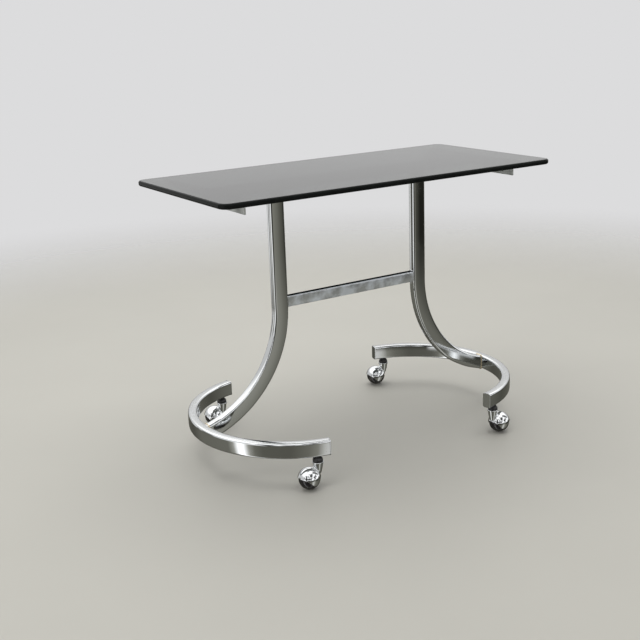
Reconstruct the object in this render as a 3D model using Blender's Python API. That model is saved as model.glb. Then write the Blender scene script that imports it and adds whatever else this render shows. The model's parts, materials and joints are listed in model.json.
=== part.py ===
"""Rolling side table: a smoked glass top on a bent steel tube frame with ball casters.

The origin is the centre of the glass top's upper face.
+X runs along the length, +Y away from the front, +Z up.
Heights in the sizes below are measured up from the floor.
"""

import math

import bmesh
import bpy
from mathutils import Matrix, Vector

MM = 0.001

# Whole table
TABLE_HEIGHT = 536.0 * MM
SEAM = 0.3 * MM  # left between pieces that are welded, pressed or laid together
FRONT = -1
REAR = 1
LEFT = -1
RIGHT = 1

# Glass top, laid loose on four clear pads
GLASS_LENGTH = 727.0 * MM
GLASS_WIDTH = 354.0 * MM
GLASS_THICKNESS = 10.0 * MM
GLASS_CORNER_RADIUS = 18.0 * MM
GLASS_RIM_ROUND = 3.6 * MM
GLASS_OVERHANG = 61.5 * MM  # past each arm's upright flange
PAD_RADIUS = 8.0 * MM
PAD_THICKNESS = 1.0 * MM
PAD_FROM_ARM_END = 12.0 * MM

# Cross arms of steel angle under the glass
ARM_LENGTH = 268.0 * MM
ARM_UPRIGHT = 19.0 * MM
ARM_FLANGE = 19.0 * MM
ARM_THICKNESS = 3.2 * MM

# Flat oval-edged tube of the legs, the feet and the rail under the glass
TUBE_WIDTH = 30.0 * MM
TUBE_DEPTH = 18.0 * MM
TUBE_WALL = 1.5 * MM
TUBE_CORNER_RADIUS = 3.5 * MM

# Legs, upright at the top and bent outwards to meet the feet
LEG_SPREAD = 330.0 * MM  # between the two centre lines
LEG_BEND_RADIUS = 221.0 * MM

# Stretcher between the legs
STRETCHER_TOP = 311.6 * MM
STRETCHER_HEIGHT = 23.0 * MM
STRETCHER_DEPTH = 12.5 * MM
STRETCHER_WALL = 1.2 * MM
STRETCHER_CORNER_RADIUS = 3.0 * MM

# Feet, each a C of tube standing on edge and open towards the other
FOOT_OUTER_RADIUS = 206.5 * MM
FOOT_CENTRE_SPREAD = 290.0 * MM  # between the centres of the two arcs
FOOT_HALF_ANGLE = math.radians(78.0)
END_CAP_THICKNESS = 2.0 * MM
END_CAP_EDGE_ROUND = 0.6 * MM

# Ball casters
CASTER_HEIGHT = 61.3 * MM  # floor to the underside of the foot
CASTER_ANGLE = math.radians(71.3)  # of the stem along the foot's arc
BALL_RADIUS = 20.0 * MM
BALL_FLAT = 18.8 * MM  # half the ball's width over the flats at its axle ends
BALL_CLEARANCE = 0.6 * MM
CASTER_TRAIL = 17.5 * MM  # stem axis to ball centre
HOOD_WALL = 1.2 * MM
HOOD_RIM_LEVEL = math.radians(12.0)
HOOD_EAR_DEPTH = math.radians(36.0)
HOOD_EAR_LEAN = math.radians(16.0)  # of the ears towards the stem
HOOD_EAR_SHARPNESS = 6.0
NECK_TOP_RADIUS = 9.2 * MM
NECK_WAIST_RADIUS = 6.0 * MM
NECK_FOOT = 0.7  # of the waist's radius, where the neck runs out in the hood's side
NECK_FOOT_RISE = 0.08  # of the hood's radius, above the hood's rim
NECK_WAIST_AT = 0.16  # share of the neck's height
NECK_SHOULDER_AT = 0.58  # share of the neck's height
NECK_SHOULDER = 0.7  # of the way out from waist to flange
FLANGE_RADIUS = 10.8 * MM
FLANGE_THICKNESS = 2.8 * MM
FLANGE_EASE = 0.42 * MM
COLLAR_HEIGHT = 10.0 * MM
COLLAR_RADIUS = 9.6 * MM
COLLAR_LIP = 0.6 * MM  # of the collar's narrow top round the hole in the foot
COLLAR_SKIRT = 0.2  # share of its height that is straight, at the bottom
COLLAR_DOME = 0.5  # share of its height that the dome over the skirt takes
STEM_RADIUS = 3.5 * MM
STEM_IN_NECK = 10.0 * MM
STEM_HEADROOM = 3.0 * MM  # over the stem's tip, inside the foot
STEM_TIP = 2.5 * MM
STEM_TIP_SHOULDER = 0.7  # of the stem's radius, where its tip is eased
SOCKET_WALL = 1.9 * MM
GRIP_RING_HEIGHT = 1.6 * MM
GRIP_RING_BITE = 0.6 * MM  # how far the ring stands out of the stem and into the socket
GRIP_RING_OPENING = math.radians(40.0)
AXLE_RADIUS = 2.5 * MM
AXLE_EASE = 0.5 * MM
AXLE_COVER = 0.8 * MM  # of the ears over the axle's ends

# Which way each caster trails, as the table stands, from +X towards +Y
CASTER_HEADINGS = {
    "front_left": math.radians(169.0),
    "front_right": math.radians(1.0),
    "rear_right": math.radians(150.0),
    "rear_left": math.radians(140.0),
}

# Facets
CORNER_STEPS = 2
GLASS_CORNER_STEPS = 6
GLASS_RIM_STEPS = 2
FOOT_STEPS = 20
COPE_FACETS = 4
LEG_BEND_STEPS = 12
BALL_SEGMENTS = 24
BALL_BAND = math.radians(15.0)
HOOD_SEGMENTS = 24
HOOD_RINGS = 8
COLLAR_STEPS = 2
ROUND_SEGMENTS = 16
PIN_SEGMENTS = 12
SHARP_ANGLE = math.radians(35.0)

# Worked out from the sizes above
FOOT_BOTTOM = CASTER_HEIGHT
FOOT_TOP = FOOT_BOTTOM + TUBE_WIDTH
FOOT_MIDDLE = FOOT_BOTTOM + TUBE_WIDTH / 2
FOOT_CENTRE_X = FOOT_CENTRE_SPREAD / 2
FOOT_LINE_RADIUS = FOOT_OUTER_RADIUS - TUBE_DEPTH / 2
FOOT_INNER_RADIUS = FOOT_OUTER_RADIUS - TUBE_DEPTH
FOOT_TUBE_HALF_ANGLE = FOOT_HALF_ANGLE - (END_CAP_THICKNESS + SEAM) / FOOT_LINE_RADIUS
FOOT_FACET = 2 * FOOT_TUBE_HALF_ANGLE / FOOT_STEPS
LEG_X = LEG_SPREAD / 2
GLASS_UNDERSIDE = TABLE_HEIGHT - GLASS_THICKNESS
ARM_SPREAD = GLASS_LENGTH - 2 * GLASS_OVERHANG  # over the outer faces of the two upright flanges
PAD_BOTTOM = GLASS_UNDERSIDE - SEAM - PAD_THICKNESS
CARRIER_TOP = PAD_BOTTOM - SEAM
RAIL_BOTTOM = CARRIER_TOP - TUBE_DEPTH
NECK_TOP = FOOT_BOTTOM - COLLAR_HEIGHT - 2 * SEAM
STEM_TOP = FOOT_TOP - TUBE_WALL - STEM_HEADROOM
SOCKET_TOP = STEM_TOP - STEM_TIP
SOCKET_BORE = STEM_RADIUS + SEAM
SOCKET_RADIUS = SOCKET_BORE + SOCKET_WALL
GRIP_RING_MIDDLE = (FOOT_BOTTOM + SOCKET_TOP) / 2
HOOD_CAVITY_RADIUS = BALL_RADIUS + BALL_CLEARANCE
HOOD_RADIUS = HOOD_CAVITY_RADIUS + HOOD_WALL
AXLE_SEAT_END = HOOD_RADIUS - AXLE_COVER


def clear_scene():
    """Remove every object that the file opened with."""
    for thing in list(bpy.data.objects):
        bpy.data.objects.remove(thing, do_unlink=True)


def finish(name, colour, roughness, metallic, transmission=0.0):
    """A plain Principled material."""
    material = bpy.data.materials.new(name)
    material.use_nodes = True
    shader = material.node_tree.nodes["Principled BSDF"]
    shader.inputs["Base Color"].default_value = (*colour, 1.0)
    shader.inputs["Roughness"].default_value = roughness
    shader.inputs["Metallic"].default_value = metallic
    shader.inputs["Transmission Weight"].default_value = transmission
    return material


def guide(name, location=(0.0, 0.0, 0.0), turn=0.0):
    """An empty that carries the pieces of one side or one caster."""
    empty = bpy.data.objects.new(name, None)
    empty.location = location
    empty.rotation_euler = (0.0, 0.0, turn)
    bpy.context.collection.objects.link(empty)
    return empty


def piece(name, shape, material, parent=None, location=(0.0, 0.0, 0.0)):
    """Turn a bmesh into a named object with its faces pointing out."""
    bmesh.ops.recalc_face_normals(shape, faces=shape.faces)
    mesh = bpy.data.meshes.new(name)
    shape.to_mesh(mesh)
    shape.free()
    mesh.shade_smooth()
    mesh.set_sharp_from_angle(angle=SHARP_ANGLE)
    thing = bpy.data.objects.new(name, mesh)
    thing.parent = parent
    thing.location = location
    if material:
        mesh.materials.append(material)
    bpy.context.collection.objects.link(thing)
    return thing


def cutter(name, shape, parent=None, location=(0.0, 0.0, 0.0)):
    """A shape that only cuts or joins others."""
    thing = piece(name, shape, None, parent, location)
    thing.hide_render = True
    thing.display_type = "WIRE"
    return thing


def combine(thing, tool, operation):
    """Join a shape to a piece, or cut it out."""
    modifier = thing.modifiers.new(tool.name, "BOOLEAN")
    modifier.operation = operation
    modifier.solver = "EXACT"
    modifier.object = tool


def over_flats(radius, segments):
    """Corner radius of a regular polygon whose flats lie at the given radius."""
    return radius / math.cos(math.pi / segments)


def rounded_outline(width, depth, radius, steps):
    """Corner-rounded rectangle about the origin, as (across, along) points."""
    points = []
    for quarter in range(4):
        across = (width / 2 - radius) * (1 if quarter in (0, 3) else -1)
        along = (depth / 2 - radius) * (1 if quarter < 2 else -1)
        for step in range(steps + 1):
            angle = (quarter + step / steps) * math.pi / 2
            points.append((across + radius * math.cos(angle), along + radius * math.sin(angle)))
    return points


def section(shape, place, width, depth, radius, wall=0.0):
    """Faces of a tube's cross-section, or of a solid bar's where there is no wall."""
    outer = [shape.verts.new(place(*point)) for point in rounded_outline(width, depth, radius, CORNER_STEPS)]
    if not wall:
        return [shape.faces.new(outer)]
    inner_radius = max(radius - wall, wall / 3)
    outline = rounded_outline(width - 2 * wall, depth - 2 * wall, inner_radius, CORNER_STEPS)
    inner = [shape.verts.new(place(*point)) for point in outline]
    faces = []
    for here in range(len(outer)):
        after = (here + 1) % len(outer)
        faces.append(shape.faces.new((outer[here], outer[after], inner[after], inner[here])))
    return faces


def of_kind(geometry, kind):
    """Only the vertices, edges or faces of a bmesh result."""
    return [item for item in geometry if isinstance(item, kind)]


def extrude(shape, faces, offset):
    """Push a cross-section along a straight line and give its far faces."""
    result = bmesh.ops.extrude_face_region(shape, geom=faces)["geom"]
    bmesh.ops.translate(shape, verts=of_kind(result, bmesh.types.BMVert), vec=offset)
    return of_kind(result, bmesh.types.BMFace)


def bend(shape, faces, centre, axis, angle, steps):
    """Spin a cross-section about an axis."""
    bmesh.ops.spin(shape, geom=faces, cent=centre, axis=axis, angle=angle, steps=steps)


def turned(profile, segments, closed=False, about=(0.0, 0.0, 1.0), phase=0.0):
    """A turned shape: (radius, height) points spun round the axis.

    An open profile starts and ends on the axis; a closed one goes round a bore.
    """
    shape = bmesh.new()
    lift = Vector(about)
    across = Matrix.Rotation(phase, 3, lift) @ Vector((1.0, 0.0, 0.0))
    corners = [shape.verts.new(across * radius + lift * height) for radius, height in profile]
    pairs = list(zip(corners, corners[1:]))
    if closed:
        pairs.append((corners[-1], corners[0]))
    lines = [shape.edges.new(pair) for pair in pairs]
    bmesh.ops.spin(
        shape,
        geom=corners + lines,
        cent=(0.0, 0.0, 0.0),
        axis=about,
        angle=2 * math.pi,
        steps=segments,
        use_merge=True,
    )
    bmesh.ops.remove_doubles(shape, verts=shape.verts, dist=0.001 * MM)
    return shape


def ring_sector(radius_in, radius_out, low, high, half_angle, steps):
    """A solid sector of a ring, upright about the Z axis."""
    shape = bmesh.new()
    start = Matrix.Rotation(-half_angle, 3, "Z")
    corners = []
    for radius, height in ((radius_in, low), (radius_out, low), (radius_out, high), (radius_in, high)):
        corners.append(shape.verts.new(start @ Vector((radius, 0.0, height))))
    face = shape.faces.new(corners)
    bend(shape, [face], (0.0, 0.0, 0.0), (0.0, 0.0, 1.0), 2 * half_angle, steps)
    return shape


def above_floor(height):
    """Height in the table's own frame."""
    return height - TABLE_HEIGHT


def corner_name(side, end):
    """Name of one corner of the table, such as front_left."""
    return f"{'front' if end == FRONT else 'rear'}_{'left' if side == LEFT else 'right'}"


def make_glass(material):
    """The top: a plate with rounded corners and a pencil-ground rim."""
    shape = bmesh.new()
    outline = rounded_outline(GLASS_LENGTH, GLASS_WIDTH, GLASS_CORNER_RADIUS, GLASS_CORNER_STEPS)
    low = above_floor(GLASS_UNDERSIDE)
    face = shape.faces.new([shape.verts.new((x, y, low)) for x, y in outline])
    extrude(shape, [face], (0.0, 0.0, GLASS_THICKNESS))
    rims = [edge for edge in shape.edges if len({round(v.co.z, 6) for v in edge.verts}) == 1]
    round_off = min(GLASS_RIM_ROUND, GLASS_THICKNESS / 2 - SEAM)
    bmesh.ops.bevel(shape, geom=rims, offset=round_off, segments=GLASS_RIM_STEPS, profile=0.5, affect="EDGES")
    piece("glass_top", shape, material)


def make_pads(material):
    """Clear pads between the glass and the arms' flanges."""
    profile = [(0.0, 0.0), (PAD_RADIUS, 0.0), (PAD_RADIUS, PAD_THICKNESS), (0.0, PAD_THICKNESS)]
    x = ARM_SPREAD / 2 + ARM_FLANGE / 2 - ARM_THICKNESS / 2
    y = ARM_LENGTH / 2 - PAD_FROM_ARM_END
    for side in (LEFT, RIGHT):
        for end in (FRONT, REAR):
            place = (side * x, end * y, above_floor(PAD_BOTTOM))
            shape = turned(profile, PIN_SEGMENTS)
            piece(f"glass_pad_{corner_name(side, end)}", shape, material, location=place)


def make_arm(name, parent, material):
    """Steel angle: one flange upright, the other flat under the glass and facing out."""
    shape = bmesh.new()
    outer = ARM_SPREAD / 2
    inner = outer - ARM_THICKNESS
    top = above_floor(CARRIER_TOP)
    outline = [
        (inner, top - ARM_UPRIGHT),
        (outer, top - ARM_UPRIGHT),
        (outer, top - ARM_THICKNESS),
        (inner + ARM_FLANGE, top - ARM_THICKNESS),
        (inner + ARM_FLANGE, top),
        (inner, top),
    ]
    face = shape.faces.new([shape.verts.new((x, -ARM_LENGTH / 2, z)) for x, z in outline])
    extrude(shape, [face], (0.0, ARM_LENGTH, 0.0))
    piece(name, shape, material, parent)


def make_rail(material):
    """Tube laid flat from arm to arm, with the legs under it."""
    shape = bmesh.new()
    end = ARM_SPREAD / 2 - ARM_THICKNESS - SEAM
    middle = above_floor(CARRIER_TOP - TUBE_DEPTH / 2)

    def place(across, up):
        return (-end, across, middle + up)

    faces = section(shape, place, TUBE_WIDTH, TUBE_DEPTH, TUBE_CORNER_RADIUS, TUBE_WALL)
    extrude(shape, faces, (2 * end, 0.0, 0.0))
    piece("top_rail", shape, material)


def leg_shape(grow, wall):
    """A leg's tube, or its solid envelope: upright, then bent outwards to the foot's line."""
    shape = bmesh.new()
    bend_x = LEG_X + LEG_BEND_RADIUS
    face_x = FOOT_CENTRE_X + FOOT_INNER_RADIUS
    meeting = math.acos((bend_x - face_x) / LEG_BEND_RADIUS)
    line_end = math.acos((bend_x - face_x - TUBE_DEPTH / 2) / LEG_BEND_RADIUS)
    bend_z = FOOT_MIDDLE + LEG_BEND_RADIUS * math.sin(meeting)
    top = above_floor(RAIL_BOTTOM - SEAM)

    def place(across, along):
        return (LEG_X + across, along, top)

    width = TUBE_WIDTH + 2 * grow
    depth = TUBE_DEPTH + 2 * grow
    faces = section(shape, place, width, depth, TUBE_CORNER_RADIUS + grow, wall)
    faces = extrude(shape, faces, (0.0, 0.0, above_floor(bend_z) - top))
    centre = (bend_x, 0.0, above_floor(bend_z))
    bend(shape, faces, centre, (0.0, -1.0, 0.0), line_end, LEG_BEND_STEPS)
    bmesh.ops.delete(shape, geom=faces, context="FACES_ONLY")
    return shape


def make_leg(name, parent, material):
    """A leg, its lower end coped to the inside of the foot's arc."""
    leg = piece(name, leg_shape(0.0, TUBE_WALL), material, parent)
    reach = TUBE_WIDTH * 2
    shape = ring_sector(
        FOOT_INNER_RADIUS - SEAM,
        FOOT_OUTER_RADIUS + reach,
        above_floor(FOOT_BOTTOM - reach),
        above_floor(FOOT_TOP + reach),
        COPE_FACETS * FOOT_FACET,
        2 * COPE_FACETS,
    )
    cope = cutter(f"{name}_cope", shape, parent, (FOOT_CENTRE_X, 0.0, 0.0))
    combine(leg, cope, "DIFFERENCE")


def make_stretcher(parents, material):
    """Tube between the legs, its ends coped to them."""
    shape = bmesh.new()
    middle = above_floor(STRETCHER_TOP - STRETCHER_HEIGHT / 2)

    def place(across, up):
        return (-LEG_X, across, middle + up)

    faces = section(
        shape, place, STRETCHER_DEPTH, STRETCHER_HEIGHT, STRETCHER_CORNER_RADIUS, STRETCHER_WALL
    )
    extrude(shape, faces, (2 * LEG_X, 0.0, 0.0))
    stretcher = piece("stretcher", shape, material)
    for side, parent in parents.items():
        envelope = cutter(f"leg_envelope_{side}", leg_shape(SEAM, 0.0), parent)
        combine(stretcher, envelope, "DIFFERENCE")


def make_foot(name, parent, material):
    """A C of tube with a hole in its underside for each caster's socket."""
    shape = bmesh.new()
    start = Matrix.Rotation(-FOOT_TUBE_HALF_ANGLE, 3, "Z")
    middle = above_floor(FOOT_MIDDLE)

    def place(out, up):
        return start @ Vector((FOOT_LINE_RADIUS + out, 0.0, middle + up))

    faces = section(shape, place, TUBE_DEPTH, TUBE_WIDTH, TUBE_CORNER_RADIUS, TUBE_WALL)
    bend(shape, faces, (0.0, 0.0, 0.0), (0.0, 0.0, 1.0), 2 * FOOT_TUBE_HALF_ANGLE, FOOT_STEPS)
    foot = piece(name, shape, material, parent, (FOOT_CENTRE_X, 0.0, 0.0))
    hole = over_flats(SOCKET_RADIUS + SEAM, ROUND_SEGMENTS)
    for end, word in ((FRONT, "first"), (REAR, "second")):
        profile = [(0.0, -TUBE_WALL), (hole, -TUBE_WALL), (hole, 2 * TUBE_WALL), (0.0, 2 * TUBE_WALL)]
        x, y = stem_place(RIGHT, end)
        drill = cutter(
            f"{name}_{word}_drill",
            turned(profile, ROUND_SEGMENTS),
            parent,
            (x, y, above_floor(FOOT_BOTTOM)),
        )
        combine(foot, drill, "DIFFERENCE")


def make_end_cap(name, parent, end, material):
    """A plate that closes one end of a foot's tube, its outer edge eased."""
    shape = bmesh.new()
    turn = Matrix.Rotation(end * FOOT_HALF_ANGLE, 3, "Z")
    centre = Vector((FOOT_CENTRE_X, 0.0, above_floor(FOOT_MIDDLE)))

    def place(out, up):
        return centre + turn @ Vector((FOOT_LINE_RADIUS + out, 0.0, up))

    faces = section(shape, place, TUBE_DEPTH, TUBE_WIDTH, TUBE_CORNER_RADIUS)
    rim = list(faces[0].edges)
    extrude(shape, faces, turn @ Vector((0.0, -end * END_CAP_THICKNESS, 0.0)))
    bmesh.ops.bevel(shape, geom=rim, offset=END_CAP_EDGE_ROUND, segments=1, profile=0.5, affect="EDGES")
    piece(name, shape, material, parent)


def stem_place(side, end):
    """Where a caster's stem goes up into the foot's tube."""
    x = FOOT_CENTRE_X + FOOT_LINE_RADIUS * math.cos(CASTER_ANGLE)
    y = FOOT_LINE_RADIUS * math.sin(CASTER_ANGLE)
    return side * x, end * y


def make_socket(name, place, material):
    """Black plastic socket: a sleeve up inside the foot and a bell-shaped collar under it."""
    bore = over_flats(SOCKET_BORE, ROUND_SEGMENTS)
    groove = over_flats(STEM_RADIUS + GRIP_RING_BITE + SEAM, ROUND_SEGMENTS)
    groove_half = GRIP_RING_HEIGHT / 2 + SEAM
    low = NECK_TOP + SEAM
    high = FOOT_BOTTOM - SEAM
    top_radius = SOCKET_RADIUS + COLLAR_LIP
    profile = [(bore, low), (COLLAR_RADIUS, low)]
    for step in range(COLLAR_STEPS + 1):
        angle = step / COLLAR_STEPS * math.pi / 2
        radius = top_radius + (COLLAR_RADIUS - top_radius) * math.cos(angle)
        profile.append((radius, low + (high - low) * (COLLAR_SKIRT + COLLAR_DOME * math.sin(angle))))
    profile += [
        (top_radius, high),
        (SOCKET_RADIUS, high),
        (SOCKET_RADIUS, SOCKET_TOP),
        (bore, SOCKET_TOP),
        (bore, GRIP_RING_MIDDLE + groove_half),
        (groove, GRIP_RING_MIDDLE + groove_half),
        (groove, GRIP_RING_MIDDLE - groove_half),
        (bore, GRIP_RING_MIDDLE - groove_half),
    ]
    shape = turned(profile, ROUND_SEGMENTS, closed=True)
    piece(name, shape, material, location=(*place, above_floor(0.0)))


def make_stem(name, parent, material):
    """Steel stem with a groove for its grip ring and a rounded tip."""
    groove = STEM_RADIUS - GRIP_RING_BITE - SEAM
    groove_half = GRIP_RING_HEIGHT / 2 + SEAM
    profile = [
        (0.0, NECK_TOP - STEM_IN_NECK),
        (STEM_RADIUS, NECK_TOP - STEM_IN_NECK),
        (STEM_RADIUS, GRIP_RING_MIDDLE - groove_half),
        (groove, GRIP_RING_MIDDLE - groove_half),
        (groove, GRIP_RING_MIDDLE + groove_half),
        (STEM_RADIUS, GRIP_RING_MIDDLE + groove_half),
        (STEM_RADIUS, SOCKET_TOP),
        (STEM_RADIUS * STEM_TIP_SHOULDER, STEM_TOP - STEM_TIP * (1 - STEM_TIP_SHOULDER)),
        (0.0, STEM_TOP),
    ]
    piece(name, turned(profile, PIN_SEGMENTS), material, parent)


def make_grip_ring(name, parent, material):
    """Split spring ring that holds the stem in its socket."""
    inner = over_flats(STEM_RADIUS - GRIP_RING_BITE, PIN_SEGMENTS)
    outer = STEM_RADIUS + GRIP_RING_BITE
    low = GRIP_RING_MIDDLE - GRIP_RING_HEIGHT / 2
    high = GRIP_RING_MIDDLE + GRIP_RING_HEIGHT / 2
    half_angle = math.pi - GRIP_RING_OPENING / 2
    shape = ring_sector(inner, outer, low, high, half_angle, PIN_SEGMENTS - 1)
    piece(name, shape, material, parent)


def ball_profile(radius, flat, segments, bore=0.0):
    """Profile of a ball flattened at its axle ends, with its flats at the given radius."""
    corner = over_flats(radius / math.cos(BALL_BAND / 2), segments)
    limit = math.asin(flat / radius)
    bands = max(3, round((2 * limit / BALL_BAND - 1) / 2) * 2 + 1)
    step = 2 * limit / bands
    profile = []
    for index in range(bands + 1):
        latitude = -limit + index * step
        along = flat * math.sin(latitude) / math.sin(limit)
        profile.append((corner * math.cos(latitude), along))
    return [(bore, -flat)] + profile + [(bore, flat)]


def hood_edge(heading):
    """Level of the hood's lower edge at a heading from the trailing side: ears dip at the axle."""
    lean = heading - HOOD_EAR_LEAN * math.sin(heading)
    return HOOD_RIM_LEVEL - HOOD_EAR_DEPTH * abs(math.sin(lean)) ** HOOD_EAR_SHARPNESS


def hood_blank():
    """The outside of the hood: part of a ball, closed towards its centre."""
    shape = bmesh.new()
    pole = shape.verts.new((0.0, 0.0, HOOD_RADIUS))
    centre = shape.verts.new((0.0, 0.0, 0.0))
    rings = []
    for ring in range(1, HOOD_RINGS + 1):
        row = []
        for segment in range(HOOD_SEGMENTS):
            heading = 2 * math.pi * segment / HOOD_SEGMENTS
            level = math.pi / 2 - (math.pi / 2 - hood_edge(heading)) * ring / HOOD_RINGS
            out = HOOD_RADIUS * math.cos(level)
            point = (out * math.cos(heading), out * math.sin(heading), HOOD_RADIUS * math.sin(level))
            row.append(shape.verts.new(point))
        rings.append(row)
    for here in range(HOOD_SEGMENTS):
        after = (here + 1) % HOOD_SEGMENTS
        shape.faces.new((pole, rings[0][here], rings[0][after]))
        shape.faces.new((centre, rings[-1][after], rings[-1][here]))
        for upper, lower in zip(rings, rings[1:]):
            shape.faces.new((upper[here], lower[here], lower[after], upper[after]))
    bmesh.ops.triangulate(shape, faces=shape.faces, quad_method="SHORT_EDGE")
    return shape


def neck_shape():
    """Neck and top flange, turned about the stem's axis, with the stem's blind bore."""
    foot_of_neck = BALL_RADIUS + HOOD_RADIUS * (math.sin(HOOD_RIM_LEVEL) + NECK_FOOT_RISE)
    flange_low = NECK_TOP - FLANGE_THICKNESS
    rise = flange_low - foot_of_neck
    bore = STEM_RADIUS + SEAM
    ease = FLANGE_EASE
    shoulder = NECK_WAIST_RADIUS + (NECK_TOP_RADIUS - NECK_WAIST_RADIUS) * NECK_SHOULDER
    profile = [
        (0.0, foot_of_neck),
        (NECK_WAIST_RADIUS * NECK_FOOT, foot_of_neck),
        (NECK_WAIST_RADIUS, foot_of_neck + NECK_WAIST_AT * rise),
        (shoulder, foot_of_neck + NECK_SHOULDER_AT * rise),
        (NECK_TOP_RADIUS, flange_low),
        (FLANGE_RADIUS, flange_low + ease),
        (FLANGE_RADIUS, NECK_TOP - ease),
        (FLANGE_RADIUS - ease, NECK_TOP),
        (bore, NECK_TOP),
        (bore, NECK_TOP - STEM_IN_NECK - SEAM),
        (0.0, NECK_TOP - STEM_IN_NECK - SEAM),
    ]
    return turned(profile, ROUND_SEGMENTS)


def make_hood(name, parent, material):
    """Die-cast hood: a shell over the ball, a neck for the stem and ears for the axle."""
    centre = (CASTER_TRAIL, 0.0, BALL_RADIUS)
    hood = piece(name, hood_blank(), material, parent, centre)
    neck = cutter(f"{name}_neck", neck_shape(), parent)
    combine(hood, neck, "UNION")
    cavity = turned(
        close_on_axis(ball_profile(HOOD_CAVITY_RADIUS, BALL_FLAT + SEAM, BALL_SEGMENTS)),
        BALL_SEGMENTS,
        about=(0.0, 1.0, 0.0),
    )
    combine(hood, cutter(f"{name}_cavity", cavity, parent, centre), "DIFFERENCE")
    hole = over_flats(AXLE_RADIUS + SEAM, PIN_SEGMENTS)
    drill = turned(
        [(0.0, -AXLE_SEAT_END), (hole, -AXLE_SEAT_END), (hole, AXLE_SEAT_END), (0.0, AXLE_SEAT_END)],
        PIN_SEGMENTS,
        about=(0.0, 1.0, 0.0),
    )
    combine(hood, cutter(f"{name}_drill", drill, parent, centre), "DIFFERENCE")


def close_on_axis(profile):
    """A profile whose ends lie on the axis."""
    return [(0.0, profile[0][1])] + profile[1:-1] + [(0.0, profile[-1][1])]


def make_ball(name, parent, material):
    """Ball wheel with flats at its ends and a bore for the axle."""
    bore = over_flats(AXLE_RADIUS + SEAM, BALL_SEGMENTS)
    shape = turned(
        ball_profile(BALL_RADIUS, BALL_FLAT, BALL_SEGMENTS, bore),
        BALL_SEGMENTS,
        closed=True,
        about=(0.0, 1.0, 0.0),
        phase=math.pi / BALL_SEGMENTS,
    )
    piece(name, shape, material, parent, (CASTER_TRAIL, 0.0, BALL_RADIUS))


def make_axle(name, parent, material):
    """Axle through the ball, its ends held in both ears."""
    half = AXLE_SEAT_END - SEAM
    ease = AXLE_EASE
    profile = [
        (0.0, -half),
        (AXLE_RADIUS - ease, -half),
        (AXLE_RADIUS, ease - half),
        (AXLE_RADIUS, half - ease),
        (AXLE_RADIUS - ease, half),
        (0.0, half),
    ]
    shape = turned(profile, PIN_SEGMENTS, about=(0.0, 1.0, 0.0))
    piece(name, shape, material, parent, (CASTER_TRAIL, 0.0, BALL_RADIUS))


def make_caster(side, end, finishes):
    """One swivelling caster, turned to the way it trails."""
    corner = corner_name(side, end)
    place = stem_place(side, end)
    make_socket(f"caster_socket_{corner}", place, finishes["black_plastic"])
    swivel = guide(f"swivel_axis_{corner}", (*place, above_floor(0.0)), CASTER_HEADINGS[corner])
    make_stem(f"caster_stem_{corner}", swivel, finishes["steel"])
    make_grip_ring(f"grip_ring_{corner}", swivel, finishes["steel"])
    make_hood(f"caster_hood_{corner}", swivel, finishes["chrome"])
    make_axle(f"wheel_axle_{corner}", swivel, finishes["steel"])
    make_ball(f"ball_wheel_{corner}", swivel, finishes["dark_ball"])


def main():
    clear_scene()
    finishes = {
        "smoked_glass": finish("smoked_glass", (0.02, 0.022, 0.021), 0.03, 0.0, 0.6),
        "clear_vinyl": finish("clear_vinyl", (0.75, 0.76, 0.75), 0.25, 0.0, 0.8),
        "chrome": finish("chrome", (0.78, 0.79, 0.79), 0.06, 1.0),
        "zinc_steel": finish("zinc_steel", (0.55, 0.56, 0.56), 0.3, 1.0),
        "steel": finish("steel", (0.5, 0.5, 0.5), 0.35, 1.0),
        "black_plastic": finish("black_plastic", (0.012, 0.012, 0.013), 0.35, 0.0),
        "dark_ball": finish("dark_ball", (0.02, 0.017, 0.02), 0.2, 0.0),
    }
    sides = {
        "left": guide("left_side", turn=math.pi),
        "right": guide("right_side"),
    }
    make_glass(finishes["smoked_glass"])
    make_pads(finishes["clear_vinyl"])
    make_rail(finishes["chrome"])
    make_stretcher(sides, finishes["chrome"])
    for side, parent in sides.items():
        facing = LEFT if side == "left" else RIGHT
        make_arm(f"cross_arm_{side}", parent, finishes["zinc_steel"])
        make_leg(f"leg_{side}", parent, finishes["chrome"])
        make_foot(f"foot_{side}", parent, finishes["chrome"])
        for end in (FRONT, REAR):
            corner = corner_name(facing, end * facing)
            make_end_cap(f"foot_end_cap_{corner}", parent, end, finishes["chrome"])
            make_caster(facing, end, finishes)


main()
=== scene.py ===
"""Visual model of a rolling side table: smoked glass on a frame of bent chrome tube, on hooded ball casters.

The origin is the centre of the glass top's upper face, with +X along its length, +Y to the back and +Z up.
"""

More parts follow.
